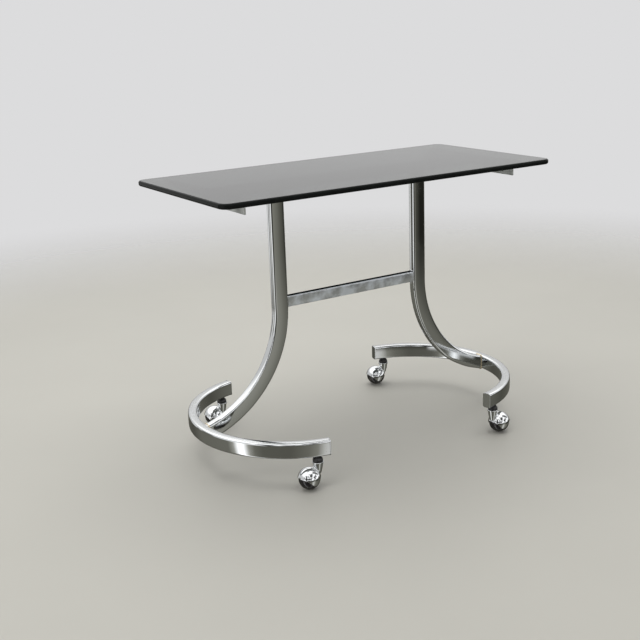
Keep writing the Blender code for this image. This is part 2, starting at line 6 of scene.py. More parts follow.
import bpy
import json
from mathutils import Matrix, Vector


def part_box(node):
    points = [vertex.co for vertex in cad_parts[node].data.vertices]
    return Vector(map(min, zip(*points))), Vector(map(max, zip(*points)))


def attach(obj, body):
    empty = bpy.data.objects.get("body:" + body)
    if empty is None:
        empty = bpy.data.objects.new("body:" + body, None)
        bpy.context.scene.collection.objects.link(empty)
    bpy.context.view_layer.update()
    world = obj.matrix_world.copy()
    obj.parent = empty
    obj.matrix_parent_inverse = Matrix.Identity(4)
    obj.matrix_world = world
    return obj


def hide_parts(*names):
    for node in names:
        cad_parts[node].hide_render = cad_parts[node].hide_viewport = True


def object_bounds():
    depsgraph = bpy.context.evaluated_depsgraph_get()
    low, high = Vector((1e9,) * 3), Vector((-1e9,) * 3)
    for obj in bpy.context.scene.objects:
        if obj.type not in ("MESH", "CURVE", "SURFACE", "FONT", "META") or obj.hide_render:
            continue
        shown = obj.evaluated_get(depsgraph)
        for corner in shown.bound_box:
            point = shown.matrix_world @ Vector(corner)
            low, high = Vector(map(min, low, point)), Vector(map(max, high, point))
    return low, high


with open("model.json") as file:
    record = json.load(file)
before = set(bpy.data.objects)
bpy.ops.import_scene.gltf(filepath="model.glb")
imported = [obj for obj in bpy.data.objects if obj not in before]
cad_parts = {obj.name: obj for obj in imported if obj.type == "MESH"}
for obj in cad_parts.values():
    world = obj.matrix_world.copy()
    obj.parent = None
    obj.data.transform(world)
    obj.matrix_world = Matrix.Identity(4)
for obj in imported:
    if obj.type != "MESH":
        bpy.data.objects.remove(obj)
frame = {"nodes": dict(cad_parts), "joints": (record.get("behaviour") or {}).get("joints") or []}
CAD_BOX = [list(corner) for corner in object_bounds()]

import json
from math import acos, asin, atan2, cos, hypot, pi, radians, sin, sqrt

import bmesh
import bpy
from bpy.props import FloatProperty, FloatVectorProperty, PointerProperty
from mathutils import Matrix, Vector

bl_info = {
    "name": "Rolling side table",
    "version": (1, 0, 0),
    "blender": (4, 5, 0),
    "location": "3D View > Sidebar > Side table",
    "description": "Dresses the frame of a glass-topped side table on ball casters",
    "category": "Object",
}

MM = 0.001
FLOOR = CAD_BOX[0][2]
SIDES = {"left": -1, "right": 1}
CORNERS = ("front_left", "front_right", "rear_left", "rear_right")
JOINTS = {joint["name"]: joint for joint in frame["joints"]}
SHARP_ANGLE = radians(40.0)

# The room that the chrome mirrors, as (bearing from +X towards +Y in degrees, brightness):
# its walls and windows just below the horizon, and its floor with the window's sheen on it further down
WALLS = (
    (-180, 1.3), (-154, 1.3), (-148, 0.06), (-84, 0.05), (-78, 0.3), (-66, 0.3), (-61, 0.2), (-57, 0.11),
    (-54, 0.05), (-52, 0.02), (-40, 0.02), (-25, 0.1), (60, 0.12), (98, 0.2), (108, 1.0), (117, 1.1),
    (118.5, 0.05), (120.5, 0.05), (122, 0.9), (126, 0.9), (129, 0.06), (143, 0.08), (148, 1.0), (180, 1.3),
)
GROUND = (
    (-180, 2.4), (-176.5, 1.7), (-171, 0.45), (-164, 0.2), (-155, 0.14), (-125, 0.13), (-106, 0.2), (-96, 0.3),
    (-88, 0.7), (-80, 0.85), (-72, 0.45), (-61, 0.3), (-56, 0.2), (-45, 0.2), (0, 0.1), (40, 0.14), (70, 0.11),
    (100, 0.1), (120, 0.18), (150, 0.2), (164, 0.2), (171, 0.45), (176.5, 1.7), (180, 2.4),
)

# The stage: the floor's radius, the softboxes as (name, place, size, power), the point that they aim at,
# and the light that dull surfaces get from the world
FLOOR_RADIUS = 3.2
SOFTBOXES = (("overhead softbox", (0.1, 0.3, 1.9), 2.6, 34.0), ("side softbox", (-2.4, -0.6, 0.9), 1.4, 9.0))
LIT_POINT = (0.0, 0.0, -0.3)
FILL_LIGHT = (0.5, 0.5, 0.505, 1.0)

# The photograph's camera, from the fit of its straight edges, with its focal length in mm
CAMERA_PLACE = (-1.1222, -1.6702, 0.2948)
CAMERA_ACROSS = (0.84147, -0.53922, -0.03442)
CAMERA_UP = (0.18085, 0.22106, 0.95835)
SENSOR_WIDTH = 36.0
FOCAL_LENGTH = 58.95

# Set by the frame: how far out the feet's arcs have their centres, the gap between welded pieces, and the
# radius of the bores for the stems
FOOT_CENTRE_X = 145.0 * MM
SEAM = 0.3 * MM
STEM_BORE = 3.8 * MM


def linear(code):
    """An sRGB hex colour as linear red, green, blue and alpha."""
    shares = [int(code[start:start + 2], 16) / 255 for start in (0, 2, 4)]
    curve = [share / 12.92 if share <= 0.04045 else ((share + 0.055) / 1.055) ** 2.4 for share in shares]
    return (*curve, 1.0)


def length(name, description, default):
    """A size that the panel shows in scene units."""
    return FloatProperty(name=name, description=description, default=default, min=0.0, unit="LENGTH", precision=4)


def angle(name, description, default):
    """An angle that the panel shows in degrees."""
    return FloatProperty(name=name, description=description, default=radians(default), subtype="ANGLE")


def colour(name, description, code):
    """A finish colour."""
    return FloatVectorProperty(
        name=name, description=description, default=linear(code), size=4, min=0.0, max=1.0, subtype="COLOR"
    )


class TableSizes(bpy.types.PropertyGroup):
    """Sizes of the table's pieces."""

    glass_corner: length("Glass corner", "Radius of the glass top's corners in plan", 18.0 * MM)
    glass_rim: length("Glass rim", "Rounding of the glass top's pencil-ground rim", 3.6 * MM)
    tube_width: length("Tube width", "Wide face of the frame's tube", 30.0 * MM)
    tube_depth: length("Tube depth", "Narrow face of the frame's tube", 18.0 * MM)
    tube_corner: length("Tube corner", "Outside corner radius of the frame's tube", 3.5 * MM)
    crown: length("Tube crown", "How far a tube's faces fall away to their corners", 0.4 * MM)
    bend_radius: length("Leg bend", "Radius of a leg's bend along its centre line", 221.0 * MM)
    bar_height: length("Stretcher height", "Height of the stretcher between the legs", 23.0 * MM)
    bar_depth: length("Stretcher depth", "Depth of the stretcher between the legs", 12.5 * MM)
    bar_corner: length("Stretcher corner", "Corner radius of the stretcher", 3.0 * MM)
    foot_radius: length("Foot radius", "Outside radius of a foot's arc", 206.5 * MM)
    foot_half: angle("Foot half angle", "Half of the angle that a foot's arc goes round", 78.0)
    cap_thickness: length("End plate", "Thickness of the plate that closes a foot's tube", 2.0 * MM)
    cap_ease: length("End plate edge", "Rounding of the end plate's outer edge", 0.6 * MM)
    arm_ease: length("Arm edge", "Easing of the cross arm's cut edges", 0.4 * MM)
    pad_radius: length("Pad radius", "Radius of a clear pad under the glass", 8.0 * MM)
    bead_radius: length("Weld bead", "Radius of a weld bead", 1.0 * MM)
    braze_radius: length("Brazed fillet", "Radius of the brazed bead where a leg meets its foot", 1.4 * MM)
    bead_pitch: length("Weld ripple", "Spacing of the ripples in a weld bead", 1.7 * MM)
    ball_radius: length("Ball radius", "Radius of a caster's ball", 20.0 * MM)
    ball_flat: length("Ball flat", "Half of the ball's width over its flats", 18.8 * MM)
    hood_wall: length("Hood wall", "Thickness of the hood's shell", 1.2 * MM)
    hood_gap: length("Hood clearance", "Gap between the ball and the hood", 0.5 * MM)
    hood_rim: angle("Hood rim", "Level of the hood's edge above the axle, away from the ears", 12.0)
    ear_depth: angle("Ear depth", "How far the ears dip below the rest of the edge", 36.0)
    ear_lean: angle("Ear lean", "How far the ears lean towards the stem", 16.0)
    ear_sharpness: FloatProperty(
        name="Ear sharpness", description="Higher makes the ears narrower", default=6.0, min=1.0
    )
    neck_fillet: length("Neck fillet", "Size of the cast fillet between neck and hood", 4.5 * MM)


class TableColours(bpy.types.PropertyGroup):
    """Colours of the table's finishes and its stage."""

    chrome: colour("Chrome plate", "Plate on the tubes and hoods", "CDCFD0")
    pit: colour("Pits", "Pits and stains in the plate", "6B6257")
    # Painted sheen: pale patches painted on the stretcher for the bright reflections that it mirrors
    painted_sheen: colour("Painted_sheen", "Pale clouding of the stretcher's plate", "E6EDF4")
    # Painted dark reflection: the stretcher's upper face painted near black for the dark that it mirrors
    tarnish: colour("Tarnish", "Dark tarnish on the stretcher's upper face", "1D2022")
    glass: colour("Smoked glass", "What is left of light that passes through the top", "3A3E3C")
    glass_rim: colour("Glass rim", "Depth of the smoked glass seen through its ground rim", "101211")
    brass: colour("Brazing", "Brass fillets where the legs meet the feet", "D8CAB0")
    zinc: colour("Zinc plate", "Plate on the cross arms", "CDD0CD")
    steel: colour("Machined steel", "Stems, axles and grip rings", "9A9894")
    nylon: colour("Black nylon", "Caster sockets", "161617")
    ball: colour("Hard rubber", "Caster balls", "1B181C")
    dust: colour("Dust", "Dust on faces that look up", "B7B3A8")
    vinyl: colour("Clear vinyl", "Pads under the glass", "E6E8E2")
    floor: colour("Floor", "The studio's floor", "C9C7BE")
    mirrored_floor: colour("Mirrored floor", "Tint of the dim floor and walls that the chrome mirrors", "FFFDE6")
    backdrop: colour("Backdrop", "The studio's backdrop", "DCDCDD")


def sizes():
    """The table's sizes."""
    return bpy.context.scene.side_table_sizes


def colours():
    """The table's colours."""
    return bpy.context.scene.side_table_colours


# ---------------------------------------------------------------- nodes and finishes


def add(tree, kind, inputs=None, **settings):
    """Add a node, or take one that exists, and give it its settings and inputs.

    A kind without Node in its name is a ShaderNode. An input is a value, a socket to link from, or a node
    to link from by the first of its outputs that is in use.
    """
    if isinstance(kind, bpy.types.Node):
        node = kind
    else:
        node = tree.nodes.new(kind if "Node" in kind else f"ShaderNode{kind}")
    for setting, value in settings.items():
        setattr(node, setting, value)
    for socket, value in (inputs or {}).items():
        if isinstance(value, bpy.types.Node):
            value = next(output for output in value.outputs if output.enabled)
        if isinstance(value, bpy.types.NodeSocket):
            tree.links.new(value, node.inputs[socket])
        else:
            node.inputs[socket].default_value = value
    return node


def start_finish(name):
    """A new material's tree, its shader and the Object coordinates that its patterns read."""
    material = bpy.data.materials.new(name)
    material.use_nodes = True
    tree = material.node_tree
    return tree, tree.nodes["Principled BSDF"], add(tree, "TexCoord").outputs["Object"]


def scaled(tone, share, lift=0.0):
    """A colour made paler or darker."""
    return [min(1.0, part * share + lift) for part in tone[:3]] + [1.0]


def chrome_plate(name, clean, smudged, wave, wave_height, painted_sheen=0.0, dust_and_painted_reflection="dust", least=0.0, most=0.35, matt=0.6):
    """Bright nickel and chromium plate over polished metal.

    It mirrors the room, a little wavy from the polishing wheel, dulled where hands and dust have been,
    with a scatter of fine pits where the plate has aged. A share of painted sheen, pale patches painted in
    for bright reflections, clouds it. What covers the faces that look up, settled dust or a near-black painted
    dark reflection, covers a share of them between least and most, where more than one reaches further round
    the edges, and matt is how far it hides the metal.
    """
    tree, shader, place = start_finish(name)
    finishes = colours()
    masks = {}
    # Each mask's width across, its detail, the noise that it runs between and what it gives there
    for mask, across, detail, low, high, start, end in (
        # Hand marks and wiped polish
        ("smudge", 40 * MM, 5.0, 0.46, 0.72, 0.0, 1.0),
        # Pits, drawn wider than the real ones so that they show, and the patches that they come in
        ("pit", 1.5 * MM, 1.0, 0.70, 0.76, 0.0, 1.0),
        ("patch", 70 * MM, 2.0, 0.52, 0.66, 0.0, 1.0),
        # Grains of dust, or for the stretcher a full cover of painted dark reflection
        ("grain", 3 * MM, 3.0, 0.4, 0.8, least, most),
        # Pale patches of painted sheen, standing in for bright reflections
        ("cloud", 30 * MM, 3.0, 0.38, 0.6, 0.4 * painted_sheen, painted_sheen),
    ):
        noise = add(tree, "TexNoise", {"Vector": place, "Scale": 1 / across, "Detail": detail})
        limits = {"Value": noise, "From Min": low, "From Max": high, "To Min": start, "To Max": end}
        masks[mask] = add(tree, "MapRange", limits)
    cloud = masks["cloud"]
    pitted = add(tree, "Math", {0: masks["pit"], 1: masks["patch"]}, operation="MULTIPLY")
    # Dust, or on the stretcher the painted dark reflection, lies on faces that look up
    facing = add(tree, "SeparateXYZ", {0: add(tree, "NewGeometry").outputs["Normal"]})
    facing = add(tree, "MapRange", {"Value": facing.outputs["Z"], "From Min": 0.7, "From Max": 1.0})
    dust = add(tree, "Math", {0: facing, 1: masks["grain"]}, operation="MULTIPLY", use_clamp=True)
    tone = finishes.chrome
    # Over the plate go the pits, the painted sheen, and dust or the painted dark reflection on faces that look up
    for mask, over in ((pitted, finishes.pit), (cloud, finishes.painted_sheen), (dust, getattr(finishes, dust_and_painted_reflection))):
        tone = add(tree, "Mix", {"Factor": mask, 6: tone, 7: over}, data_type="RGBA")
    rough = add(tree, "MapRange", {"Value": masks["smudge"], "To Min": clean, "To Max": smudged})
    for mask, share in ((pitted, 0.4), (dust, 0.5), (cloud, 0.1)):
        rough = add(tree, "Math", {0: mask, 1: share, 2: rough}, operation="MULTIPLY_ADD")
    metal = 1.0
    # Dust and the painted dark reflection dull the metal, and the painted sheen nearly takes it away
    for mask, share in ((dust, -matt), (cloud, -0.8)):
        metal = add(tree, "Math", {0: mask, 1: share, 2: metal}, operation="MULTIPLY_ADD")
    shine = add(tree, "Math", {0: dust, 1: -matt / 2, 2: 0.5}, operation="MULTIPLY_ADD")
    # The polishing wheel's waves, then the pits
    swell = add(tree, "TexNoise", {"Vector": place, "Scale": 1 / wave, "Detail": 1.0})
    swell = add(tree, "Bump", {"Height": swell, "Distance": wave_height})
    dent = add(tree, "Bump", {"Height": pitted, "Distance": 0.02 * MM, "Normal": swell}, invert=True)
    looks = {"Base Color": tone, "Roughness": rough, "Metallic": metal, "Specular IOR Level": shine}
    add(tree, shader, {**looks, "Normal": dent})


def rolled_steel(name, tone, along, clean, worn):
    """Steel with a drawn, rolled or turned surface: fine lines along one way, dull grey with brighter rubs."""
    tree, shader, place = start_finish(name)
    tone = getattr(colours(), tone)
    # Lines 0.4 mm apart and 60 mm long
    stretch = [1 / (0.4 * MM)] * 3
    stretch[along] = 1 / (60 * MM)
    lines = add(tree, "Mapping", {"Vector": place, "Scale": stretch})
    lines = add(tree, "TexNoise", {"Vector": lines, "Scale": 1.0, "Detail": 3.0})
    # Rubs and stains about 25 mm across
    rub = add(tree, "TexNoise", {"Vector": place, "Scale": 1 / (25 * MM), "Detail": 4.0})
    rub = add(tree, "MapRange", {"Value": rub, "From Min": 0.35, "From Max": 0.7})
    shade = add(tree, "Mix", {"Factor": rub, 6: scaled(tone, 0.72), 7: tone}, data_type="RGBA")
    rough = add(tree, "MapRange", {"Value": rub, "To Min": worn, "To Max": clean})
    groove = add(tree, "Bump", {"Height": lines, "Distance": 0.015 * MM, "Strength": 0.6})
    add(tree, shader, {"Base Color": shade, "Roughness": rough, "Metallic": 1.0, "Normal": groove})


def smoked_float_glass(name):
    """Grey body-tinted float glass: flat and glossy, dark to look through, with wiped smears and dust on it."""
    tree, shader, place = start_finish(name)
    # Cloth smears, 90 mm long and 20 mm wide
    smear = {"Scale": (1 / (90 * MM), 1 / (20 * MM), 1.0), "Rotation": (0.0, 0.0, radians(24.0))}
    wipe = add(tree, "Mapping", {"Vector": place, **smear})
    wipe = add(tree, "TexNoise", {"Vector": wipe, "Scale": 1.0, "Detail": 5.0, "Distortion": 0.6})
    limits = {"From Min": 0.5, "From Max": 0.75, "To Min": 0.008, "To Max": 0.075}
    wipe = add(tree, "MapRange", {"Value": wipe, **limits})
    # Specks of dust on the upper face, in cells of 5 mm
    speck = add(tree, "TexVoronoi", {"Vector": place, "Scale": 1 / (5 * MM)})
    limits = {"From Min": 0.05, "From Max": 0.11, "To Min": 1.0, "To Max": 0.0}
    speck = add(tree, "MapRange", {"Value": speck, **limits})
    facing = add(tree, "SeparateXYZ", {0: add(tree, "NewGeometry").outputs["Normal"]})
    facing = add(tree, "MapRange", {"Value": facing.outputs["Z"], "From Min": 0.8, "From Max": 1.0})
    for share in (facing, 0.3):
        speck = add(tree, "Math", {0: speck, 1: share}, operation="MULTIPLY")
    tone = add(tree, "Mix", {"Factor": speck, 6: colours().glass, 7: colours().dust}, data_type="RGBA")
    clear = add(tree, "Math", {0: 1.0, 1: speck}, operation="SUBTRACT")
    add(tree, shader, {"Base Color": tone, "Roughness": wipe, "IOR": 1.52, "Transmission Weight": clear})


def ground_glass_rim(name):
    """The glass top's rim, ground round and polished: near black, because the eye looks along the tinted plate."""
    tree, shader, place = start_finish(name)
    base = colours().glass_rim
    # Marks of the grinding wheel, 12 mm apart along the rim
    wheel = add(tree, "TexNoise", {"Vector": place, "Scale": 1 / (12 * MM), "Detail": 4.0})
    tone = add(tree, "Mix", {"Factor": wheel, 6: base, 7: scaled(base, 2.2)}, data_type="RGBA")
    rough = add(tree, "MapRange", {"Value": wheel, "To Min": 0.18, "To Max": 0.32})
    bump = add(tree, "Bump", {"Height": wheel, "Distance": 0.03 * MM})
    # Fine grinding scatters most of what the rim would mirror
    looks = {"Base Color": tone, "Roughness": rough, "IOR": 1.52, "Specular IOR Level": 0.06}
    add(tree, shader, {**looks, "Normal": bump})


def moulded_nylon(name):
    """Black nylon, injection moulded: a low sheen over a fine spark-eroded texture, greyer where it is rubbed."""
    tree, shader, place = start_finish(name)
    base = colours().nylon
    # Mould texture of 0.5 mm, coarser than the real one so that it shows, and rubs of 6 mm
    grit = add(tree, "TexNoise", {"Vector": place, "Scale": 1 / (0.5 * MM), "Detail": 2.0})
    rub = add(tree, "TexNoise", {"Vector": place, "Scale": 1 / (6 * MM), "Detail": 3.0})
    rubbed = add(tree, "MapRange", {"Value": rub, "From Min": 0.5, "From Max": 0.75})
    tone = add(tree, "Mix", {"Factor": rubbed, 6: base, 7: scaled(base, 2.5, 0.01)}, data_type="RGBA")
    rough = add(tree, "MapRange", {"Value": rub, "To Min": 0.32, "To Max": 0.52})
    bump = add(tree, "Bump", {"Height": grit, "Distance": 0.02 * MM, "Strength": 0.5})
    add(tree, shader, {"Base Color": tone, "Roughness": rough, "IOR": 1.53, "Normal": bump})


def hard_rubber(name):
    """The balls' hard rubber, moulded and polished by rolling: near black, glossy, with scuffs and floor dust."""
    tree, shader, place = start_finish(name)
    # Scuffs about 5 mm long and floor dust in patches of 9 mm
    scuff = add(tree, "TexNoise", {"Vector": place, "Scale": 1 / (5 * MM), "Detail": 6.0, "Distortion": 1.5})
    scuffed = add(tree, "MapRange", {"Value": scuff, "From Min": 0.5, "From Max": 0.72})
    dusty = add(tree, "TexNoise", {"Vector": place, "Scale": 1 / (9 * MM), "Detail": 5.0})
    dusty = add(tree, "MapRange", {"Value": dusty, "From Min": 0.52, "From Max": 0.8})
    dusty = add(tree, "Math", {0: dusty, 1: 0.16}, operation="MULTIPLY")
    tone = add(tree, "Mix", {"Factor": dusty, 6: colours().ball, 7: colours().dust}, data_type="RGBA")
    rough = add(tree, "MapRange", {"Value": scuffed, "To Min": 0.12, "To Max": 0.34})
    bump = add(tree, "Bump", {"Height": scuff, "Distance": 0.03 * MM, "Strength": 0.5})
    add(tree, shader, {"Base Color": tone, "Roughness": rough, "IOR": 1.52, "Normal": bump})


def clear_vinyl(name):
    """Soft clear vinyl, cast: water clear with a slight haze and trapped dust at its edge."""
    tree, shader, place = start_finish(name)
    haze = add(tree, "TexNoise", {"Vector": place, "Scale": 1 / (2 * MM), "Detail": 3.0})
    tone = add(tree, "Mix", {"Factor": haze, 6: colours().vinyl, 7: colours().dust}, data_type="RGBA")
    rough = add(tree, "MapRange", {"Value": haze, "To Min": 0.12, "To Max": 0.4})
    add(tree, shader, {"Base Color": tone, "Roughness": rough, "IOR": 1.53, "Transmission Weight": 0.85})


def sealed_floor(name):
    """A trowelled and sealed floor that fades into the backdrop."""
    tree, shader, place = start_finish(name)
    # Faint clouding, 250 mm across
    cloud = add(tree, "TexNoise", {"Vector": place, "Scale": 1 / 0.25, "Detail": 4.0})
    tone = colours().floor
    shade = add(tree, "Mix", {"Factor": cloud, 6: scaled(tone, 0.94), 7: tone}, data_type="RGBA")
    add(tree, shader, {"Base Color": shade, "Roughness": 0.6})
    reach = add(tree, "VectorMath", {0: place, 1: (1.0, 1.0, 0.0)}, operation="MULTIPLY")
    reach = add(tree, "VectorMath", {0: reach}, operation="LENGTH")
    limits = {"From Min": 1.2, "From Max": 2.6, "To Min": 1.0, "To Max": 0.0}
    fade = add(tree, "MapRange", {"Value": reach, **limits}, interpolation_type="SMOOTHSTEP")
    # The chrome mirrors the room below the horizon instead of this floor
    glossy = add(tree, "LightPath").outputs["Is Glossy Ray"]
    kept = add(tree, "Math", {0: 1.0, 1: glossy}, operation="SUBTRACT")
    kept = add(tree, "Math", {0: kept, 1: fade}, operation="MULTIPLY")
    both = add(tree, "MixShader", {0: kept, 1: add(tree, "BsdfTransparent"), 2: shader})
    add(tree, tree.nodes["Material Output"], {"Surface": both})


# The maker of each finish, and what it is given after the name
FINISHES = {
    # Steel tube, polished and plated
    "bright chrome plate on tube": (chrome_plate, 0.035, 0.12, 55 * MM, 0.05 * MM),
    # The stretcher's plate has pale patches of painted sheen on its sides and a near-black painted dark reflection on
    # top
    "clouded chrome plate on tube": (chrome_plate, 0.05, 0.2, 30 * MM, 0.5 * MM, 0.9, "tarnish", 4.0, 4.0, 1.0),
    # Zinc die casting, less flat under its plate than drawn tube is
    "bright chrome plate on die casting": (chrome_plate, 0.04, 0.13, 7 * MM, 0.03 * MM),
    "zinc-plated steel angle": (rolled_steel, "zinc", 1, 0.34, 0.55),
    "brazed brass fillet": (rolled_steel, "brass", 2, 0.22, 0.4),
    "machined steel": (rolled_steel, "steel", 0, 0.24, 0.42),
    "smoked float glass": (smoked_float_glass,),
    "ground and polished glass rim": (ground_glass_rim,),
    "moulded black nylon": (moulded_nylon,),
    "moulded hard rubber": (hard_rubber,),
    "cast clear vinyl": (clear_vinyl,),
    "sealed floor": (sealed_floor,),
}


def finish(name):
    """One of the finishes, made when it is first asked for."""
    if name not in bpy.data.materials:
        make, *given = FINISHES[name]
        make(name, *given)
    return bpy.data.materials[name]


# ---------------------------------------------------------------- shapes


def rounded_outline(width, depth, radius, steps):
    """Corner-rounded rectangle about the origin, as (across, along) points."""
    points = []
    for quarter in range(4):
        across = (width / 2 - radius) * (1 if quarter in (0, 3) else -1)
        along = (depth / 2 - radius) * (1 if quarter < 2 else -1)
        for step in range(steps + 1):
            turn = (quarter + step / steps) * pi / 2
            points.append((across + radius * cos(turn), along + radius * sin(turn)))
    return points


def as_mesh(name, shape):
    """A bmesh that is done with, as a mesh."""
    mesh = bpy.data.meshes.new(name)
    shape.to_mesh(mesh)
    shape.free()
    return mesh


def placed(name, data):
    """An object in the scene."""
    thing = bpy.data.objects.new(name, data)
    bpy.context.collection.objects.link(thing)
    return thing


def finished(name, shape, *materials):
    """A bmesh as an object with outward faces, smooth but for its sharp edges."""
    bmesh.ops.recalc_face_normals(shape, faces=shape.faces)
    mesh = as_mesh(name, shape)
    for material in materials:
        mesh.materials.append(finish(material))
    return shaded(placed(name, mesh))


def shaded(thing):
    """Shade an object so that its flat faces stay flat beside its rounded edges."""
    thing.data.shade_smooth()
    thing.data.set_sharp_from_angle(angle=SHARP_ANGLE)
    even = thing.modifiers.new("even shading", "WEIGHTED_NORMAL")
    even.keep_sharp = True
    return thing


def dress(thing, body, slot, *nodes):
    """Fix a piece to its body, and hide the nodes that it stands for. The slot is not used."""
    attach(thing, body)
    if nodes:
        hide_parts(*nodes)


def thicken(shape, face, way):
    """Extrude a face into a plate."""
    made = bmesh.ops.extrude_face_region(shape, geom=[face])["geom"]
    moved = [item for item in made if isinstance(item, bmesh.types.BMVert)]
    bmesh.ops.translate(shape, verts=moved, vec=way)


def lathe(rows, segments, closed=False):
    """A turned shape about Z from (radius, height) rows: on the axis at both ends, or closed round a bore."""
    shape = bmesh.new()
    rings = []
    for radius, height in rows:
        if radius <= 0.0:
            rings.append([shape.verts.new((0.0, 0.0, height))])
            continue
        ring = []
        for step in range(segments):
            turn = 2 * pi * step / segments
            ring.append(shape.verts.new((radius * cos(turn), radius * sin(turn), height)))
        rings.append(ring)
    join_rings(shape, rings, closed)
    return shape


def join_rings(shape, rings, closed=False):
    """Faces between neighbouring rings, where a ring of one vertex is a pole."""
    pairs = list(zip(rings, rings[1:]))
    if closed:
        pairs.append((rings[-1], rings[0]))
    for low, high in pairs:
        count = max(len(low), len(high))
        for here in range(count):
            after = (here + 1) % count
            corners = [low[here % len(low)], low[after % len(low)], high[after % len(high)], high[here % len(high)]]
            shape.faces.new(list(dict.fromkeys(corners)))


def arc(centre, radius, start, end, steps):
    """(radius, height) points along an arc in a profile."""
    points = []
    for step in range(steps + 1):
        turn = start + (end - start) * step / steps
        points.append((centre[0] + radius * cos(turn), centre[1] + radius * sin(turn)))
    return points


# ---------------------------------------------------------------- node trees


def sweep_tube(tree, given):
    """Sweeps a corner-rounded section along a path of edges."""
    path = add(tree, "GeometryNodeMeshToCurve", {"Mesh": given["Geometry"]})
    section = add(tree, "GeometryNodeCurvePrimitiveQuadrilateral", {"Width": given["Across"], "Height": given["Along"]})
    rounding = {"Curve": section, "Count": given["Corner steps"], "Radius": given["Corner radius"]}
    section = add(tree, "GeometryNodeFilletCurve", rounding, mode="POLY")
    section = add(tree, "GeometryNodeResampleCurve", {"Curve": section, "Length": 0.9 * MM}, mode="LENGTH")
    # Drawn tube is not dead flat: each face falls away by the crown, with the square of the way to its corners
    place = add(tree, "SeparateXYZ", {0: add(tree, "GeometryNodeInputPosition")}).outputs
    falls = {}
    for here, there, width in (("X", "Y", "Along"), ("Y", "X", "Across")):
        side = add(tree, "Math", {0: place[here]}, operation="SIGN")
        fall = add(tree, "Math", {0: place[there], 1: given[width]}, operation="DIVIDE")
        for factor in (fall, -4.0, given["Crown"], side):
            fall = add(tree, "Math", {0: fall, 1: factor}, operation="MULTIPLY")
        falls[here] = fall
    section = add(tree, "GeometryNodeSetPosition", {"Geometry": section, "Offset": add(tree, "CombineXYZ", falls)})
    return add(tree, "GeometryNodeCurveToMesh", {"Curve": path, "Profile Curve": section, "Fill Caps": True})


def lay_bead(tree, given):
    """Lays a rippled weld bead along a path of edges."""
    path = add(tree, "GeometryNodeMeshToCurve", {"Mesh": given["Geometry"]})
    step = add(tree, "Math", {0: given["Ripple pitch"], 1: 6.0}, operation="DIVIDE")
    path = add(tree, "GeometryNodeResampleCurve", {"Curve": path, "Length": step}, mode="LENGTH")
    along = add(tree, "GeometryNodeSplineParameter").outputs["Length"]
    wave = add(tree, "Math", {0: along, 1: given["Ripple pitch"]}, operation="DIVIDE")
    wave = add(tree, "Math", {0: wave, 1: pi}, operation="MULTIPLY")
    for operation in ("SINE", "ABSOLUTE"):
        wave = add(tree, "Math", {0: wave}, operation=operation)
    swell = add(tree, "Math", {0: wave, 1: given["Ripple depth"], 2: 0.9}, operation="MULTIPLY_ADD")
    path = add(tree, "GeometryNodeSetCurveRadius", {"Curve": path, "Radius": swell})
    section = add(tree, "GeometryNodeCurvePrimitiveCircle", {"Resolution": 10, "Radius": given["Bead radius"]})
    return add(tree, "GeometryNodeCurveToMesh", {"Curve": path, "Profile Curve": section, "Fill Caps": True})


def place_pads(tree, given):
    """Puts a round pad with a slightly domed rim on every vertex."""
    steps = {"Vertices": 48, "Side Segments": 4, "Fill Segments": 6}
    measures = {"Radius": given["Radius"], "Depth": given["Thickness"]}
    pad = add(tree, "GeometryNodeMeshCylinder", {**steps, **measures}, fill_type="TRIANGLE_FAN")
    # The rim's height falls off with the sixth power of the radius
    place = add(tree, "GeometryNodeInputPosition")
    reach = add(tree, "VectorMath", {0: place, 1: (1.0, 1.0, 0.0)}, operation="MULTIPLY")
    reach = add(tree, "VectorMath", {0: reach}, operation="LENGTH")
    reach = add(tree, "Math", {0: reach, 1: given["Radius"]}, operation="DIVIDE")
    reach = add(tree, "Math", {0: reach, 1: 6.0}, operation="POWER")
    height = add(tree, "Math", {0: reach, 1: -0.3, 2: 1.0}, operation="MULTIPLY_ADD")
    scale = add(tree, "CombineXYZ", {"X": 1.0, "Y": 1.0, "Z": height})
    domed = add(tree, "VectorMath", {0: place, 1: scale}, operation="MULTIPLY")
    pad = add(tree, "GeometryNodeSetPosition", {"Geometry": pad, "Position": domed})
    return add(tree, "GeometryNodeInstanceOnPoints", {"Points": given["Geometry"], "Instance": pad})


# What fills each node tree, and its inputs with their defaults
TREES = {
    "Tube along a path": (
        sweep_tube,
        {"Across": 18.0 * MM, "Along": 30.0 * MM, "Corner radius": 3.5 * MM, "Corner steps": 6, "Crown": 0.3 * MM},
    ),
    "Weld bead along a path": (lay_bead, {"Bead radius": 1.0 * MM, "Ripple pitch": 1.7 * MM, "Ripple depth": 0.16}),
    "Round pads on points": (place_pads, {"Radius": 8.0 * MM, "Thickness": 1.0 * MM}),
}


def node_tree(name):
    """One of the node trees, made when it is first asked for, with a finish for what it makes."""
    if name in bpy.data.node_groups:
        return bpy.data.node_groups[name]
    fill, inputs = TREES[name]
    tree = bpy.data.node_groups.new(name, "GeometryNodeTree")
    tree.interface.new_socket("Geometry", in_out="INPUT", socket_type="NodeSocketGeometry")
    for label, default in inputs.items():
        kind = "NodeSocketInt" if isinstance(default, int) else "NodeSocketFloat"
        tree.interface.new_socket(label, in_out="INPUT", socket_type=kind).default_value = default
    tree.interface.new_socket("Finish", in_out="INPUT", socket_type="NodeSocketMaterial")
    tree.interface.new_socket("Geometry", in_out="OUTPUT", socket_type="NodeSocketGeometry")
    given = add(tree, "NodeGroupInput").outputs
    real = add(tree, "GeometryNodeRealizeInstances", {"Geometry": fill(tree, given)})
    dressed = add(tree, "GeometryNodeSetMaterial", {"Geometry": real, "Material": given["Finish"]})
    add(tree, "NodeGroupOutput", {"Geometry": dressed})
    return tree


